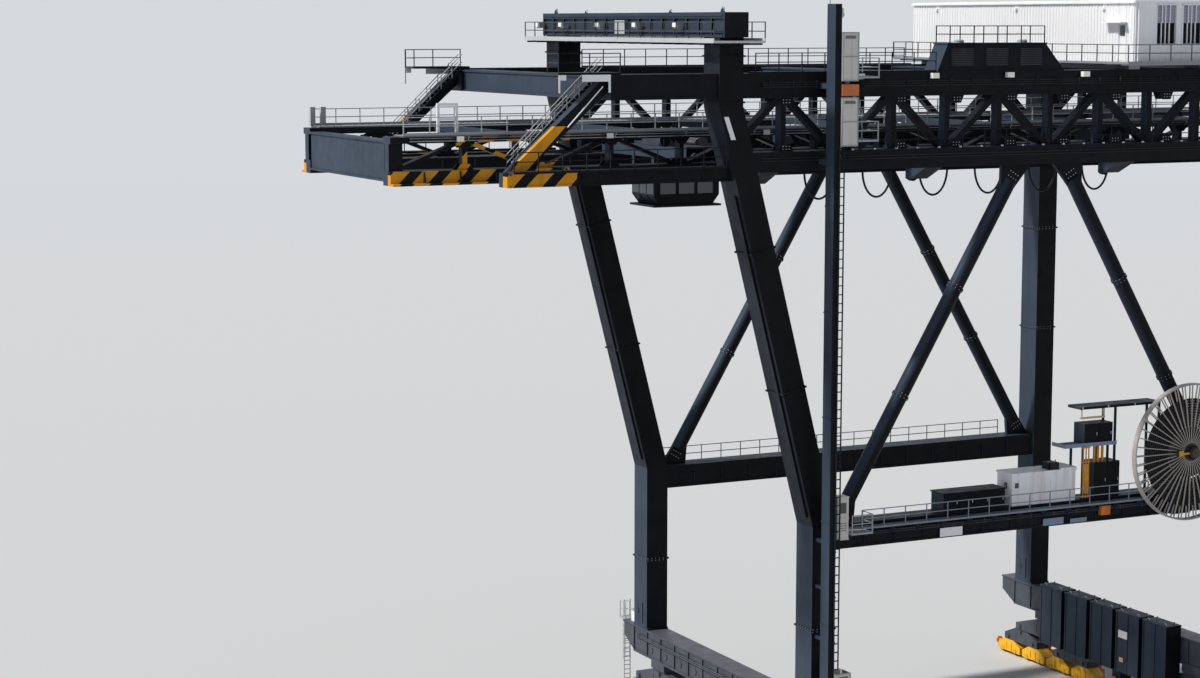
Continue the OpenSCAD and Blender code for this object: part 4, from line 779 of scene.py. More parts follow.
def makeLegs():
    # covers, bolted splices, doors, pipes and one pale plate on the legs
    legValues = dict(x=1.524, y=1.046, halfX=0.075, halfY=0.091, ring=0.008, coverZ=(0.86, 1.25), pipe=0.006,
                     splice=1.041, upperSplices=(2.4, 3.1), door=((-0.032, 0.032), (0.613, 0.747)),
                     handle=(0.02, (0.67, 0.70)), footZ=0.59, tall=((0.03, 4.2), (0.012, 3.5)),
                     short=(0.045, 0.06), shortTop=1.61, tallClamps=(0.75, 4.1, 13),
                     shortClamps=(0.7, 1.5, 4), plateY=-1.1365,
                     plate=((-2.196, 4.006), (-2.168, 4.006), (-2.122, 3.879), (-2.151, 3.879)))
    x, y, halfX, halfY = (legValues[key] for key in ("x", "y", "halfX", "halfY"))
    cover = discs(at(0, 0, 0), ((0.03, -0.001), (0.03, 0.005), (0.026, 0.007)), "X", 20)
    turn = circle(8)
    knobs = bolts(path(0, 0.024 * np.cos(turn), 0.024 * np.sin(turn)), "X", 0.002, 0.008)
    piece("leg_covers", repeated(joined(cover, knobs), at(halfX + x * both, y * both, legValues["coverZ"])),
          navyPaint)
    rims = np.concatenate([at(spread(-0.07, 0.07, 6), both * (halfY + 0.0045), 0.005),
                           at(both * (halfX + 0.0045), spread(-0.085, 0.085, 7), 0.005)])
    ring = discs(rims, ((0.0028, -0.009), (0.0028, 0.009)), "Z", 6)
    levels = np.concatenate([at(x * both, y * both, legValues["splice"]),
                             at(x, y * both, legValues["upperSplices"])])
    piece("leg_splice_bolts", repeated(ring, levels), zinc)
    doorX = -halfX - 0.0035
    (left, right), (low, high) = legValues["door"]
    handleY, handleZ = legValues["handle"]
    frames = joined(rods(doorX, [left, right], (low, high), 0.004),
                    rods(doorX, (left - 0.002, right + 0.002), [low, high], 0.004),
                    rods(doorX - 0.003, handleY, handleZ, 0.004))
    piece("leg_door_frames", repeated(frames, at(x * both, y * both, 0)), greyPaint)
    face = -y - halfY - legValues["ring"] - legValues["pipe"] - 0.001
    foot = legValues["footZ"]
    runs = [lines(x - back, face, (foot, top), legValues["pipe"]) for back, top in legValues["tall"]]
    runs += [lines(ahead - x, face, (foot, legValues["shortTop"]), 0.005) for ahead in legValues["short"]]
    runs.append(blocks(at(x - 0.021, face + 0.005, spread(*legValues["tallClamps"])), (0.046, 0.024, 0.01)))
    runs.append(blocks(at(0.0525 - x, face + 0.005, spread(*legValues["shortClamps"])), (0.036, 0.024, 0.01)))
    piece("leg_conduits", nearAndFar(joined(*runs)), navyPaint)
    outline = [(a, legValues["plateY"], b) for a, b in legValues["plate"]]
    piece("upper_leg_plate", prisms(outline, (0, -0.004, 0)), whitePaint)


def makeBraces():
    # bolts round the pipe collars and on the gusset plates: p = end + along * u + across * v
    braceValues = dict(foot=(1.387, 1.652), head=(0.17, 3.692), inset=0.11, y=1.046, collar=0.0475,
                       reach=0.012, plateU=(0.06, 0.09), plateV=(-0.03, -0.01, 0.01, 0.03))
    foot, head = np.array(braceValues["foot"]), np.array(braceValues["head"])
    along = (head - foot) / np.linalg.norm(head - foot)
    across = np.array([along[1], -along[0]])
    y, collar = braceValues["y"], braceValues["collar"]
    spots = np.array([end + along * way * u + across * v for end, way in ((foot, 1), (head, -1))
                      for u in braceValues["plateU"] for v in braceValues["plateV"]])
    parts = [bolts(path(spots[:, 0], -y, spots[:, 1]), "Y", 0.0035, 0.016)]
    turn = circle(12)
    reach = braceValues["reach"] * np.array([along[0], 0, along[1]])
    for share in (1 / 3, 2 / 3):
        inset = along * braceValues["inset"]
        middle = foot + inset + (head - foot - 2 * inset) * share
        rim = path(middle[0] + across[0] * collar * np.cos(turn), -y + collar * np.sin(turn),
                   middle[1] + across[1] * collar * np.cos(turn))
        parts.append(pipes(rim - reach, rim + reach, 0.0028, 6))
    piece("brace_bolts", allCorners(joined(*parts)), zinc)


def makePortalBeams():
    # blank plates, walkway brackets and grating, conduits and bolted splices on the portal beams
    beamValues = dict(plates=((-0.72, -0.563, 1.514, 1.566),),
                      small=((0.019, 0.169, 1.514, 1.556), (0.219, 0.341, 1.514, 1.54)), walk=(0.06, 0.03),
                      brackets=(-1.25, 0.72, 12), farBrackets=(-1.36, 1.28, 14), slats=(-1.29, 0.755, 70),
                      farSlats=(-1.375, 1.295, 90), runX=(-1.44, 0.95), clamps=(-1.4, 0.92, 15), spliceX=1.38)
    low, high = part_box("portal_beam_near")
    face, bottom, top = low[1], low[2], high[2]
    for name, rows, paint in (("portal_beam_plate", beamValues["plates"], whitePaint),
                              ("portal_beam_small_plates", beamValues["small"], blueGrey)):
        plates = [solids((a, b), (face - 0.003, face + 0.001), (c, d)) for a, b, c, d in rows]
        piece(name, joined(*plates), paint)
    wide, drop = beamValues["walk"]
    seat = top - drop - 0.0005
    root, tip = face + 0.001, face - wide + 0.004
    knee = prisms([(0, root, seat), (0, tip, seat), (0, tip, seat - 0.006), (0, root, seat - 0.06)],
                  (0.005, 0, 0))
    knees = joined(repeated(knee, at(spread(*beamValues["brackets"]), 0, 0)),
                   mirrored(repeated(knee, at(spread(*beamValues["farBrackets"]), 0, 0))))
    piece("portal_walk_brackets", knees, navyPaint)
    runs = lines(beamValues["runX"], face - 0.006, [bottom + 0.085, bottom + 0.073], 0.004)
    clamps = blocks(at(spread(*beamValues["clamps"]), face - 0.005, bottom + 0.079), (0.006, 0.012, 0.026))
    piece("portal_conduits", nearAndFar(joined(runs, clamps)), greyPaint)
    spliceX = both * beamValues["spliceX"]
    plates = blocks(at(spliceX, face - 0.001, bottom + 0.045), (0.12, 0.005, 0.07))
    heads = bolts(at(around(spliceX, (-0.045, -0.015, 0.015, 0.045)), face - 0.002,
                     bottom + np.array([0.02, 0.045, 0.07])), "Y", 0.003, 0.005)
    piece("portal_splices", nearAndFar(joined(plates, heads)), navyPaint)
    gratingZ = top - 0.0195
    slats, farSlats = (rods(spread(*beamValues[key]), (face - 0.003, face - 0.058), gratingZ, 0.003, 0.002)
                       for key in ("slats", "farSlats"))
    piece("portal_walk_grating", joined(slats, mirrored(farSlats)), blueGrey)


def makeLift():
    # trim, doors, vents and panes of the shafts and the car, rack, joints and head of the mast
    liftValues = dict(boxesZ=((0.575, 0.821), (3.837, 4.109), (4.198, 4.469)), x=(-1.54, -1.436),
                      y=(-1.3, -1.19), leafY=[-1.2265, -1.2635], handleY=[-1.237, -1.253],
                      mast=(-1.58, -1.54), mastY=(-1.29, -1.2), rackZ=(0.58, 4.615), teeth=(0.6, 4.6, 334),
                      jointZ=(1.1, 1.7, 2.3, 2.9, 3.5), sheaveZ=4.565, switchZ=(4.51, 4.53))
    x0, x1 = liftValues["x"]
    y0, y1 = liftValues["y"]
    leafY = liftValues["leafY"]
    strips, doors, vents, panes = [], [], [], []
    for low, high in liftValues["boxesZ"]:
        levels = [low + 0.004, (low + high) / 2, high - 0.004]
        strips += [rods(x, y, (low + 0.001, high - 0.001), 0.006)
                   for x, y in ((x1, y0), (x1, y1), (x0 + 0.004, y0))]
        strips += [rods((x0 + 0.001, x1), y0, levels, 0.004, 0.006), rods(x1, (y0, y1), levels, 0.004, 0.006)]
        doors.append(blocks(at(x1 + 0.0015, leafY, low + 0.115), (0.003, 0.034, 0.19)))
        doors.append(blocks(at(x1 + 0.005, liftValues["handleY"], low + 0.11), (0.004, 0.003, 0.03)))
        vents.append(blocks(at((x0 + x1) / 2, y0 - 0.001, high - 0.022 - 0.006 * np.arange(3)),
                            (0.07, 0.003, 0.0025)))
        panes.append(blocks(at(x1 + 0.0034, leafY, low + 0.16), (0.001, 0.014, 0.05)))
    piece("shaft_trim", joined(*strips), palePaint)
    piece("shaft_doors", joined(*doors), greyPaint)
    # the near-black vent slots are painted shade
    piece("shaft_vents", joined(*vents), paintedShadeDark)
    piece("shaft_door_panes", joined(*panes), glassDark)
    carLow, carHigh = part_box("lift_car")
    carX, z0, z1 = carHigh[0] - 0.002, carLow[2], carHigh[2]
    leaves = (carLow[1] + carHigh[1]) / 2 + both * 0.0165
    piece("lift_car_doors", blocks(at(carX, leaves, (z0 + z1) / 2 + 0.06 * both), (0.004, 0.031, 0.105)),
          palePaint, "lift")
    windows = joined(blocks(at(carX + 0.0022, leaves, z1 - 0.06), (0.001, 0.014, 0.045)),
                     blocks(at(carX - 0.036, carLow[1] + 0.002, z1 - 0.065), (0.04, 0.003, 0.06)))
    piece("lift_car_windows", windows, glassDark, "lift")
    slats = blocks(at(carX - 0.036, carLow[1] + 0.0018, z0 + 0.055 + 0.014 * np.arange(4)),
                   (0.05, 0.002, 0.003))
    piece("lift_car_slats", slats, greyPaint, "lift")
    m0, m1 = liftValues["mast"]
    n0, n1 = liftValues["mastY"]
    centre = ((m0 + m1) / 2, (n0 + n1) / 2)
    rack = joined(solids((m1 - 0.001, m1 + 0.002), (n0 + 0.004, n0 + 0.014), liftValues["rackZ"]),
                  blocks(at(m1 + 0.003, n0 + 0.009, spread(*liftValues["teeth"])), (0.004, 0.01, 0.005)))
    piece("mast_rack", rack, zinc)
    piece("mast_joints", blocks(at(*centre, liftValues["jointZ"]), (0.046, 0.094, 0.008)), navyPaint)
    axle, z = m1 + 0.012, liftValues["sheaveZ"]
    cheeks = n0 + np.array([0.012, 0.072])
    groove = ((0.02, -0.004), (0.02, -0.002), (0.016, 0.0), (0.02, 0.002), (0.02, 0.004))
    head = joined(discs(at(axle, (n0 + 0.03, n0 + 0.06), z), groove, "Y", 20),
                  rods(axle, (n0 + 0.015, n0 + 0.075), z, 0.006),
                  solids((m1 - 0.001, m1 + 0.018), (cheeks, cheeks + 0.005), (z - 0.01, z + 0.035)))
    piece("mast_head_sheaves", head, zinc)
    switches = joined(blocks(at(m1 + 0.01, centre[1], liftValues["switchZ"]), (0.02, 0.02, 0.012)),
                      lines(m0 + 0.01, n1 - 0.01, (4.62, 4.652), 0.003))
    piece("mast_switches", switches, palePaint)


def makeLandings():
    # grating bars and knee braces of the lift landings
    landingValues = dict(x=(-1.436, -1.296), y0=-1.3,
                         seats=((1.632, -1.122), (3.87, -1.121), (4.223, -1.121)), slats=14)
    x0, x1 = landingValues["x"]
    rows = spread(x0 + 0.006, x1 - 0.006, landingValues["slats"])
    slats, knees = [], []
    for z, y1 in landingValues["seats"]:
        slats.append(rods(rows, (landingValues["y0"] + 0.004, y1 - 0.002), z + 0.0005, 0.003, 0.002))
        knee = prisms([(0, y1 + 0.001, z - 0.0105), (0, y1 - 0.12, z - 0.0105), (0, y1 - 0.12, z - 0.017),
                       (0, y1 + 0.001, z - 0.07)], (0.006, 0, 0))
        knees.append(repeated(knee, at((x0 + 0.012, x1 - 0.02), 0, 0)))
    piece("landing_grating", joined(*slats), palePaint)
    piece("landing_braces", joined(*knees), navyPaint)


def makeReel():
    # cable wound in one flat spiral, r(t) = first + pitch * t / (2 pi), between the spokes
    reelValues = dict(x=1.037, y=-1.215, z=1.904, first=0.163, pitch=0.0158, turns=10.8, steps=56,
                      cable=0.0075, rim=0.4205, half=0.018, hubBolts=12, hubBoltRadius=0.046,
                      driveY=(-1.158, -1.1))
    x, y, z, half = (reelValues[key] for key in ("x", "y", "z", "half"))
    turn = spread(0, 2 * math.pi * reelValues["turns"], int(reelValues["steps"] * reelValues["turns"]))
    radius = reelValues["first"] + reelValues["pitch"] * turn / (2 * math.pi)
    spiral = path(x + radius * np.cos(turn), y, z + radius * np.sin(turn))
    piece("reel_cable", tubes([spiral], reelValues["cable"], 8, (0, 1, 0)), cableRubber, "reel", True)
    turn = spread(0, 2 * math.pi, 97)
    rims = [path(x + reelValues["rim"] * np.cos(turn), y + s * half, z + reelValues["rim"] * np.sin(turn))
            for s in both]
    piece("reel_rim_edges", tubes(rims, 0.0035, 8, (0, 1, 0)), palePaint, "reel", True)
    plate = discs(at(x, y - half, z),
                  ((0.057, 0.001), (0.057, -0.003), (0.05, -0.004), (0.032, -0.004), (0.032, 0.001)), "Y", 40)
    turn = circle(reelValues["hubBolts"])
    ring = reelValues["hubBoltRadius"]
    heads = bolts(path(x + ring * np.cos(turn), y - half - 0.002, z + ring * np.sin(turn)), "Y", 0.003, 0.004)
    piece("reel_hub_plate", joined(plate, heads), rustBrown, "reel")
    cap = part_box("reel_bracket")[0][1]
    dome = ((0.034, 0.001), (0.034, -0.02), (0.03, -0.027), (0.02, -0.031), (0.008, -0.033))
    piece("slip_ring_cover", discs(at(x, cap, z), dome, "Y", 32), rustBrown, smooth=True)
    arm = joined(solids((x - 0.125, x - 0.02), (cap - 0.012, cap - 0.004), (z - 0.006, z + 0.006)),
                 solids((x - 0.127, x - 0.093), (cap - 0.02, cap + 0.008), (z - 0.012, z + 0.022)))
    piece("slip_ring_box", arm, brass)
    gearY, motorY = reelValues["driveY"]
    gear = joined(discs(at(x, gearY, z - 0.075), ((0.04, 0.001), (0.04, -0.024), (0.034, -0.03)), "Y", 28),
                  discs(at(x + 0.045, motorY, z), ((0.028, -0.02), (0.028, 0.1), (0.022, 0.108)), "Y", 24),
                  blocks(at(x + 0.045, motorY, z - 0.045), (0.05, 0.07, 0.04)))
    piece("reel_drive", gear, orangePaint)


def makeElectricalHouse():
    # window, doors and ribs in the house's recesses, and the cooler on its roof
    houseValues = dict(x=(-0.212, 0.252), face=-1.122, back=-0.97, z=(1.652, 1.84),
                       window=((-0.196, -0.162), (1.758, 1.794)), side=((0.018, 0.068), (1.662, 1.802)),
                       end=((-1.082, -1.022), (1.658, 1.802)), handleZ=1.73, ribs=12, unit=(0.064, 0.133),
                       unitY=(-1.112, -1.040), unitZ=(1.849, 1.891), grilleY=-1.113, fan=(-1.077, 1.8905),
                       lidZ=(1.889, 1.892), studs=(-1.075, 1.897))
    x0, x1 = houseValues["x"]
    face, back = houseValues["face"], houseValues["back"]
    z0, z1 = houseValues["z"]
    (a, b), (c, d) = houseValues["window"]
    (e, f), (g, h) = houseValues["end"]
    (s0, s1), (t0, t1) = houseValues["side"]
    panes = joined(solids((a + 0.002, b - 0.002), (face + 0.003, face + 0.0055), (c + 0.002, d - 0.002)),
                   solids((x0 + 0.001, x0 + 0.0035), (e + 0.015, f - 0.015), (h - 0.05, h - 0.015)))
    piece("ehouse_panes", panes, glassDark)
    xs = spread(x0 + 0.02, x1 - 0.02, houseValues["ribs"])
    xs = xs[((xs <= a - 0.01) | (xs >= b + 0.01)) & ((xs <= s0 - 0.01) | (xs >= s1 + 0.01))]
    ribs = [solids((xs - 0.002, xs + 0.002), span, (z0 + 0.008, z1 - 0.006))
            for span in ((face - 0.002, face + 0.001), (back - 0.001, back + 0.002))]
    handle = houseValues["handleZ"]
    doors = joined(rimRods((a, b), face - 0.001, (c, d), 0.003, 0.004),
                   solids((s0 + 0.001, s1 - 0.001), (face + 0.001, face + 0.004), (t0 + 0.001, t1 - 0.001)),
                   solids((x0 + 0.003, x0 + 0.006), (e + 0.001, f - 0.001), (g + 0.001, h - 0.001)),
                   blocks(at(s0 + 0.008, face - 0.001, handle), (0.004, 0.004, 0.022)),
                   blocks(at(x0 - 0.001, e + 0.008, handle), (0.004, 0.004, 0.022)), *ribs)
    piece("ehouse_doors", doors, rustedWhite)
    u0, u1 = houseValues["unit"]
    v0, v1 = houseValues["unitY"]
    w0, w1 = houseValues["unitZ"]
    grille = rods((u0 + 0.006, u1 - 0.006), houseValues["grilleY"], spread(w0 + 0.008, w1 - 0.004, 8), 0.002)
    fan = discs(at((u0 + u1) / 2, *houseValues["fan"]), ((0.022, -0.001), (0.022, 0.002), (0.004, 0.003)),
                "Z", 24)
    piece("ehouse_cooler", joined(grille, fan), greyPaint)
    wide = (u0 - 0.002, u1 + 0.002)
    cover = joined(solids(wide, (v0, v0 + 0.002), (w0, w1)), solids(wide, (v1 - 0.004, v1), (w0, w1)),
                   solids((u0 - 0.002, u0), (v0, v1), (w0, w1)), solids((u1, u1 + 0.002), (v0, v1), (w0, w1)),
                   solids(wide, (v0, v1), houseValues["lidZ"]),
                   blocks(at(u0 + 0.035 * np.arange(3), *houseValues["studs"]), (0.004, 0.004, 0.014)))
    piece("ehouse_cooler_case", cover, darkPaint)


def makeDriveStand():
    # the stand between the electrical house and the reel: hoses, platform plates, cabinet doors, a switch
    # box, a light bar and the ribs of its roof
    standValues = dict(face=-1.122, back=-0.992, platform=(0.17, 0.55, 1.974), amber=[0.302, 0.322, 0.342],
                       hoses=[0.402, 0.43, 0.462], amberZ=1.66, hoseZ=1.869, straps=(1.668, 1.88, 1.968),
                       box=((0.304, 0.34), (1.69, 1.868)), head=(0.28, 0.88, 2.202), barX=0.46,
                       barZ=(2.145, 2.155), plates=26, ribX=(0.48, 0.68),
                       switch=((0.43, 0.496), (1.548, 1.6)),
                       cases=((-0.698, -0.262, 1.652, 1.766, 4, 0.0), (0.39, 0.58, 1.652, 1.87, 2, 0.0),
                              (0.32, 0.53, 1.984, 2.11, 2, 0.012)))
    face, back = standValues["face"], standValues["back"]
    p0, p1, pz = standValues["platform"]
    plates = spread(p0 + 0.02, p1 - 0.01, standValues["plates"])
    plate = joined(solids((p0 - 0.002, p1 + 0.002), (face - 0.003, face + 0.001), (pz - 0.001, pz + 0.022)),
                   solids((p0 - 0.003, p0 + 0.001), (face - 0.002, back), (pz - 0.001, pz + 0.022)),
                   blocks(at(plates, (face + back) / 2, pz + 0.011), (0.003, 0.125, 0.003)))
    piece("stand_platform_edge", plate, blueGrey)
    boxX, boxZ = standValues["box"]
    amber = joined(lines(standValues["amber"], face - 0.006, (standValues["amberZ"], pz - 0.0005), 0.004, 10),
                   solids(boxX, (face - 0.012, face - 0.002), boxZ),
                   lines(standValues["hoses"], face + 0.02, (standValues["hoseZ"], pz + 0.0005), 0.008, 10),
                   blocks(at(standValues["amber"][1], face - 0.002, standValues["straps"]),
                          (0.06, 0.012, 0.006)))
    piece("stand_amber_pipes", amber, amberPaint)
    h0, h1, hz = standValues["head"]
    barX, barZ = standValues["barX"], standValues["barZ"]
    bar = joined(solids((h0, barX), (face - 0.004, face + 0.012), barZ),
                 rods([h0 + 0.01, barX - 0.01], face + 0.004, (barZ[1] - 0.001, hz + 0.001), 0.006))
    piece("stand_light_bar", bar, creamPaint)
    leaves, knobs = [], []
    for x0, x1, z0, z1, count, inset in standValues["cases"]:
        wide, middle = (x1 - x0) / count, (z0 + z1) / 2
        xs = x0 + wide * (np.arange(count) + 0.5)
        leaves.append(blocks(at(xs, face + inset - 0.001, middle), (wide - 0.008, 0.004, z1 - z0 - 0.018)))
        knobs.append(blocks(at(xs + 0.35 * wide, face + inset - 0.004, middle), (0.004, 0.004, 0.018)))
    piece("stand_cabinet_doors", joined(*leaves), darkPaint)
    piece("stand_cabinet_handles", joined(*knobs), zinc)
    (b0, b1), (c0, c1) = standValues["switch"]
    box = joined(solids((b0, b1), (face - 0.03, face + 0.001), (c0, c1)),
                 solids((b0 - 0.003, b1 + 0.003), (face - 0.033, face + 0.001), (c1, c1 + 0.004)))
    piece("stand_switch_box", box, orangePaint)
    ribs = np.array([h0 + 0.01, *standValues["ribX"], h1 - 0.02])
    ribs = solids((ribs, ribs + 0.008), (face - 0.003, face + 0.001), (hz + 0.001, hz + 0.017))
    piece("stand_head_ribs", ribs, zinc)


def makeMachineryBox():
    # louvres in frames on the box's face, and caps on its roof
    boxValues = dict(top=(-0.721, -0.035), y=-1.046, face=-1.116, z=(4.243, 4.405),
                     panels=(-0.62, -0.38, -0.14), halfPanel=0.08, louvres=10, cap=0.12)
    y = boxValues["face"] - 0.002
    z0, z1 = boxValues["z"]
    wide = boxValues["halfPanel"]
    rows = spread(z0 + 0.035, z1 - 0.035, boxValues["louvres"])
    slats = [rods((x - wide + 0.005, x + wide - 0.005), y, rows, 0.004, 0.005) for x in boxValues["panels"]]
    frames = [rimRods((x - wide, x + wide), y, (z0 + 0.025, z1 - 0.025), 0.005) for x in boxValues["panels"]]
    piece("machinery_box_louvres", joined(*slats), greyPaint)
    piece("machinery_box_frames", joined(*frames), navyPaint)
    t0, t1 = boxValues["top"]
    caps = discs(at((t0 + boxValues["cap"], t1 - boxValues["cap"]), boxValues["y"], z1 + 0.0005),
                 ((0.03, -0.001), (0.03, 0.012), (0.024, 0.018)), "Z", 20)
    piece("machinery_box_caps", caps, palePaint)


def makeSills():
    # conduits, covers, cabinet doors, ballast plates and eyes, anchor handles
    sillValues = dict(x=1.524, half=0.075, y=(-1.1, 1.1), z=0.395, conduits=(0.125, 0.113), clamps=12,
                      covers=(-0.9, 0.9, 10), cabinet=(-1.179, 0.5625), fieldBox=(1.191, 0.615),
                      ballast=(-0.57, 0.28, 5), eyeX=(0.02, 0.095), eyeY=0.085,
                      plate=((-0.295, -0.205), (0.473, 0.523)), label=((-0.26, -0.22), (0.31, 0.34)),
                      pinZ=0.12, lever=((0.03, 0.24), (0.075, 0.30)))
    x, half, z = sillValues["x"], sillValues["half"], sillValues["z"]
    y0, y1 = sillValues["y"]
    runs = lines(x + half + 0.005, (y0, y1), [z + lift for lift in sillValues["conduits"]], 0.004)
    clamps = blocks(at(x + half + 0.003, spread(y0 + 0.03, y1 - 0.03, sillValues["clamps"]), z + 0.119),
                    (0.012, 0.008, 0.026))
    piece("sill_conduits", bothRails(joined(runs, clamps)), greyPaint)
    covers = discs(at(x + half - 0.007, spread(*sillValues["covers"]), z + 0.06),
                   ((0.022, -0.001), (0.022, 0.004)), "X", 18)
    piece("sill_covers", bothRails(covers), greyPaint)
    doorX, boxX = -x - half - 0.0425, -x - 0.0505
    (cabinetY, cabinetZ), (boxY, boxZ) = sillValues["cabinet"], sillValues["fieldBox"]
    doors = joined(blocks(at(doorX, cabinetY, cabinetZ), (0.003, 0.048, 0.1)),
                   blocks(at(doorX - 0.002, cabinetY + 0.014, cabinetZ - 0.0025), (0.003, 0.004, 0.02)),
                   blocks(at(boxX, boxY, boxZ), (0.003, 0.07, 0.068)),
                   blocks(at(boxX - 0.002, boxY - 0.026, boxZ), (0.003, 0.004, 0.02)))
    piece("sill_cabinet_doors", doors, whitePaint)
    ballastLow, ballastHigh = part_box("ballast_boxes")
    side = ballastLow[0]
    piece("ballast_plate", solids((side - 0.003, side + 0.001), *sillValues["plate"]), whitePaint)
    piece("ballast_label", solids((side - 0.003, side + 0.001), *sillValues["label"]), creamPaint)
    arch = spread(0, math.pi, 9)
    first, pitch, count = sillValues["ballast"]
    rows = around(first + pitch * np.arange(count), both * sillValues["eyeY"])
    eyes = [path(side + across, y + 0.012 * np.cos(arch), ballastHigh[2] - 0.001 + 0.014 * np.sin(arch))
            for across in sillValues["eyeX"] for y in rows]
    piece("ballast_lifting_eyes", tubes(eyes, 0.003, 6, (1, 0, 0)), zinc)
    foot, head = (at(x - 0.05, *end) for end in sillValues["lever"])
    handle = joined(discs(at(x + both * 0.064, 0, sillValues["pinZ"]), ((0.02, -0.004), (0.02, 0.004)),
                          "X", 20),
                    bars(foot, head, 0.006, 0.012))
    piece("anchor_handles", bothRails(handle), yellowPaint)


def makeBogies():
    # bolts, guards, terminal boxes and fins on the travel groups, worked out for one group and repeated
    bogieValues = dict(x=1.524, corner=0.8, pitch=0.145, half=0.046, wheelZ=0.034, eqTop=0.345, subTop=0.215,
                       bogieTop=0.112, capBolts=0.0115, bogieEnd=0.133, motorOut=0.04, fins=16,
                       finRadius=0.0225, ribZ=0.055, lugZ=0.028, guardZ=(0.026, 0.05), mainRibZ=0.27,
                       subRibZ=0.15, caseZ=0.125, capZ=0.169, finZ=0.13, gearZ=(0.056, 0.082))
    x, corner, pitch, half = (bogieValues[key] for key in ("x", "corner", "pitch", "half"))
    top, subTop = bogieValues["bogieTop"], bogieValues["subTop"]
    wheels = corner + pitch * np.arange(-3.5, 4)
    ring = bogieValues["capBolts"] * np.stack([np.cos(circle(6)), np.sin(circle(6))], axis=-1)
    caps = np.concatenate([at(x + both * (half + 0.005), wheels + dy, bogieValues["wheelZ"] + dz)
                           for dy, dz in ring])
    piece("bogie_cap_bolts", allCorners(bolts(caps, "X", 0.0022, 0.003)), wheelSteel)
    centres = corner + pitch * np.array([-3, -1, 1, 3])
    face = x + both * (half + 0.001)
    ribs = blocks(at(face, around(centres, (-0.03, 0.03)), bogieValues["ribZ"]), (0.006, 0.006, 0.06))
    lugs = blocks(at(face, centres, bogieValues["lugZ"]), (0.006, 0.05, 0.008))
    piece("bogie_ribs", allCorners(joined(ribs, lugs)), yellowPaint)
    ends = (centres[0] - bogieValues["bogieEnd"], centres[-1] + bogieValues["bogieEnd"])
    low, high = bogieValues["guardZ"]
    guards = joined(blocks(at(x, ends, low), (0.05, 0.006, 0.036)),
                    blocks(at(x, ends, high), (0.08, 0.008, 0.014)))
    piece("rail_guards", allCorners(guards), orangePaint)
    middles = corner + 2 * pitch * both
    mains = np.concatenate([at(x + both * 0.068, corner, bogieValues["eqTop"] - 0.027),
                            at(x + both * 0.068, middles, subTop + 0.0225)])
    subs = np.concatenate([at(x + both * 0.058, middles, subTop - 0.021),
                           at(x + both * 0.058, centres, top + 0.0225)])
    keepers = joined(discs(mains, ((0.011, -0.003), (0.011, 0.004), (0.007, 0.005)), "X", 18),
                     discs(subs, ((0.007, -0.003), (0.007, 0.004), (0.004, 0.005)), "X", 14))
    piece("equalizer_pin_caps", allCorners(keepers), wheelSteel)
    webs = joined(blocks(at(x + both * 0.0605, corner + both * 0.09, bogieValues["mainRibZ"]),
                         (0.003, 0.006, 0.06)),
                  blocks(at(x + both * 0.0505, around(middles, (-0.06, 0.06)), bogieValues["subRibZ"]),
                         (0.003, 0.005, 0.04)))
    piece("equalizer_ribs", allCorners(webs), greyPaint)
    motors = centres[[0, 2]]
    motorX = x + half + bogieValues["motorOut"]
    cases = joined(blocks(at(motorX + 0.026, motors, bogieValues["caseZ"]), (0.014, 0.026, 0.03)),
                   discs(at(motorX, motors, bogieValues["capZ"]),
                         ((0.018, -0.001), (0.018, 0.006), (0.012, 0.009)), "Z", 20))
    piece("motor_terminal_boxes", allCorners(cases), greyPaint)
    turn = circle(bogieValues["fins"])
    fins = np.concatenate([path(motorX + bogieValues["finRadius"] * np.cos(turn),
                                y + bogieValues["finRadius"] * np.sin(turn), bogieValues["finZ"])
                           for y in motors])
    piece("motor_fins", allCorners(blocks(fins, (0.002, 0.002, 0.052))), orangePaint)
    gearBolts = at(motorX + 0.024, around(motors, (-0.03, -0.01, 0.01, 0.03)), bogieValues["gearZ"])
    piece("gearbox_bolts", allCorners(bolts(gearBolts, "X", 0.0025, 0.004)), wheelSteel)


def makeLadderCage():
    # hoops round the access ladder's climbing side, half circles of radius r, and straps along them
    cageValues = dict(x=-1.524, y=1.394, radius=0.027, first=0.28, pitch=0.055, count=8,
                      straps=(0.5, 1.57, 2.64))
    arch = spread(0, math.pi, 13)
    x, y, r = cageValues["x"], cageValues["y"], cageValues["radius"]
    heights = cageValues["first"] + cageValues["pitch"] * np.arange(cageValues["count"])
    hoops = tubes([path(x + r * np.cos(arch), y + r * np.sin(arch), z) for z in heights], 0.0022, 6,
                  (0, 0, 1))
    foot, head = (path(x + r * np.cos(cageValues["straps"]), y + r * np.sin(cageValues["straps"]), z)
                  for z in heights[[0, -1]])
    piece("access_ladder_cage", joined(hoops, bars(foot, head, 0.003, 0.002)), palePaint)


def makeCamera():
    # camera fitted to the photo without shift: yaw from +Y towards +X, pitch downwards
    cameraValues = dict(lens=73.35, sensor_width=36.0, clip_start=0.1, clip_end=600.0)
    placeValues = dict(yaw=25.864, pitch=7.361, place=(-8.6923, -12.975, 4.5178))
    data = bpy.data.cameras.new("viewCamera")
    for key, value in cameraValues.items():
        setattr(data, key, value)
    data.dof.use_dof = False
    camera = bpy.data.objects.new("viewCamera", data)
    bpy.context.scene.collection.objects.link(camera)
    turn = (Matrix.Rotation(math.radians(-placeValues["yaw"]), 4, "Z")
            @ Matrix.Rotation(math.radians(90 - placeValues["pitch"]), 4, "X"))
    camera.matrix_world = Matrix.Translation(Vector(placeValues["place"])) @ turn
    bpy.context.scene.camera = camera


lightValues = dict(energy=3.4, angle=4.0, towards=(-0.95, 0.2, 1.05), sun=(1.0, 0.97, 0.92), ambient=0.34,
                   sky=(0.80, 0.89, 1.0, 1.0), backdrop="#d6d9dd", floor="#cfd0d1", floorReach=(14.0, 60.0),
                   floorHalf=260.0)


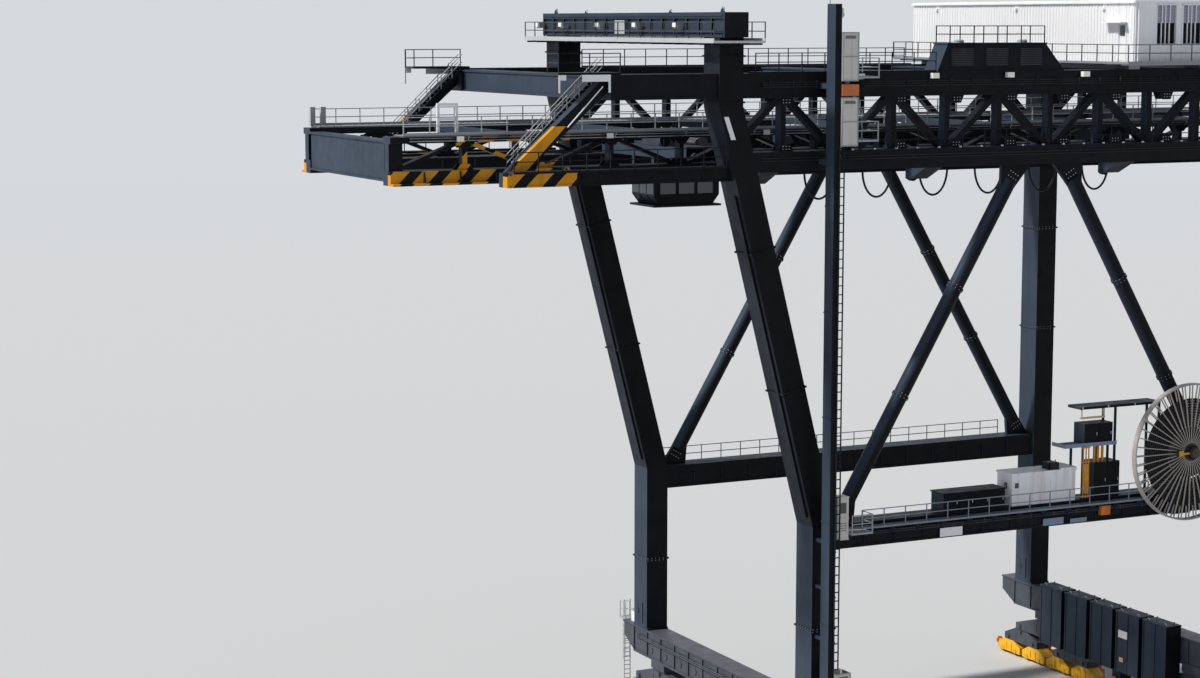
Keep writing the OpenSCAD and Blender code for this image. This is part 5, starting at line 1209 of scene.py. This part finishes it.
def makeLight():
    # a warm sun and a blue sky light the crane; rays that the camera, metal or glass sends see the backdrop
    data = bpy.data.lights.new("sunLight", "SUN")
    data.energy = lightValues["energy"]
    data.angle = math.radians(lightValues["angle"])
    data.color = lightValues["sun"]
    sun = bpy.data.objects.new("sunLight", data)
    sun.rotation_mode = "QUATERNION"
    sun.rotation_quaternion = Vector(lightValues["towards"]).to_track_quat("Z", "Y")
    bpy.context.scene.collection.objects.link(sun)
    world = bpy.data.worlds.new("studioWorld")
    bpy.context.scene.world = world
    world.use_nodes = True
    tree = world.node_tree
    tree.nodes.clear()
    rays = tree.nodes.new("ShaderNodeLightPath").outputs
    seen = mathNode(tree, "MAXIMUM", rays["Is Camera Ray"], rays["Is Glossy Ray"])
    seen = mathNode(tree, "MAXIMUM", seen, rays["Is Transmission Ray"])
    pale = addNode(tree, "ShaderNodeBackground",
                   {"Color": toLinear(lightValues["backdrop"]), "Strength": 1.0})
    sky = addNode(tree, "ShaderNodeBackground",
                  {"Color": lightValues["sky"], "Strength": lightValues["ambient"]})
    mixed = addNode(tree, "ShaderNodeMixShader", {0: seen, 1: sky.outputs[0], 2: pale.outputs[0]})
    addNode(tree, "ShaderNodeOutputWorld", {0: mixed.outputs[0]})
    bpy.context.scene.view_settings.view_transform = "Standard"


def makeFloor():
    # a plain floor that fades into the backdrop's tone with its distance from the crane
    half = lightValues["floorHalf"]
    mesh = bpy.data.meshes.new("studioFloor")
    mesh.from_pydata([(-half, -half, 0), (half, -half, 0), (half, half, 0), (-half, half, 0)], [],
                     [(0, 1, 2, 3)])
    material, tree, shader, coords = startMaterial("floorGrey")
    shader.inputs["Base Color"].default_value = toLinear(lightValues["floor"])
    shader.inputs["Roughness"].default_value = 0.9
    shader.inputs["Specular IOR Level"].default_value = 0.05
    distance = addNode(tree, "ShaderNodeVectorMath", {0: coords}, operation="LENGTH").outputs["Value"]
    fade = mapRange(tree, distance, *lightValues["floorReach"])
    glow = addNode(tree, "ShaderNodeEmission", {"Color": toLinear(lightValues["backdrop"]), "Strength": 1.0})
    mixed = addNode(tree, "ShaderNodeMixShader", {0: fade, 1: shader.outputs[0], 2: glow.outputs[0]})
    output = next(node for node in tree.nodes if node.type == "OUTPUT_MATERIAL")
    tree.links.new(mixed.outputs[0], output.inputs[0])
    mesh.materials.append(material)
    floor = bpy.data.objects.new("studioFloor", mesh)
    bpy.context.scene.collection.objects.link(floor)


for stage, makers in (("upper pieces", (makeHouse, makeTower, makeTrusses, makeRearBeams)),
                      ("boom and trolley", (makeBoom, makeFestoon, makeTrolley)),
                      ("legs and lift", (makeLegs, makeBraces, makePortalBeams, makeLift, makeLandings)),
                      ("reel and houses", (makeReel, makeElectricalHouse, makeDriveStand, makeMachineryBox)),
                      ("base", (makeSills, makeBogies, makeLadderCage)),
                      ("light and floor", (makeCamera, makeLight, makeFloor))):
    for make in makers:
        make()
    print("stage:", stage)
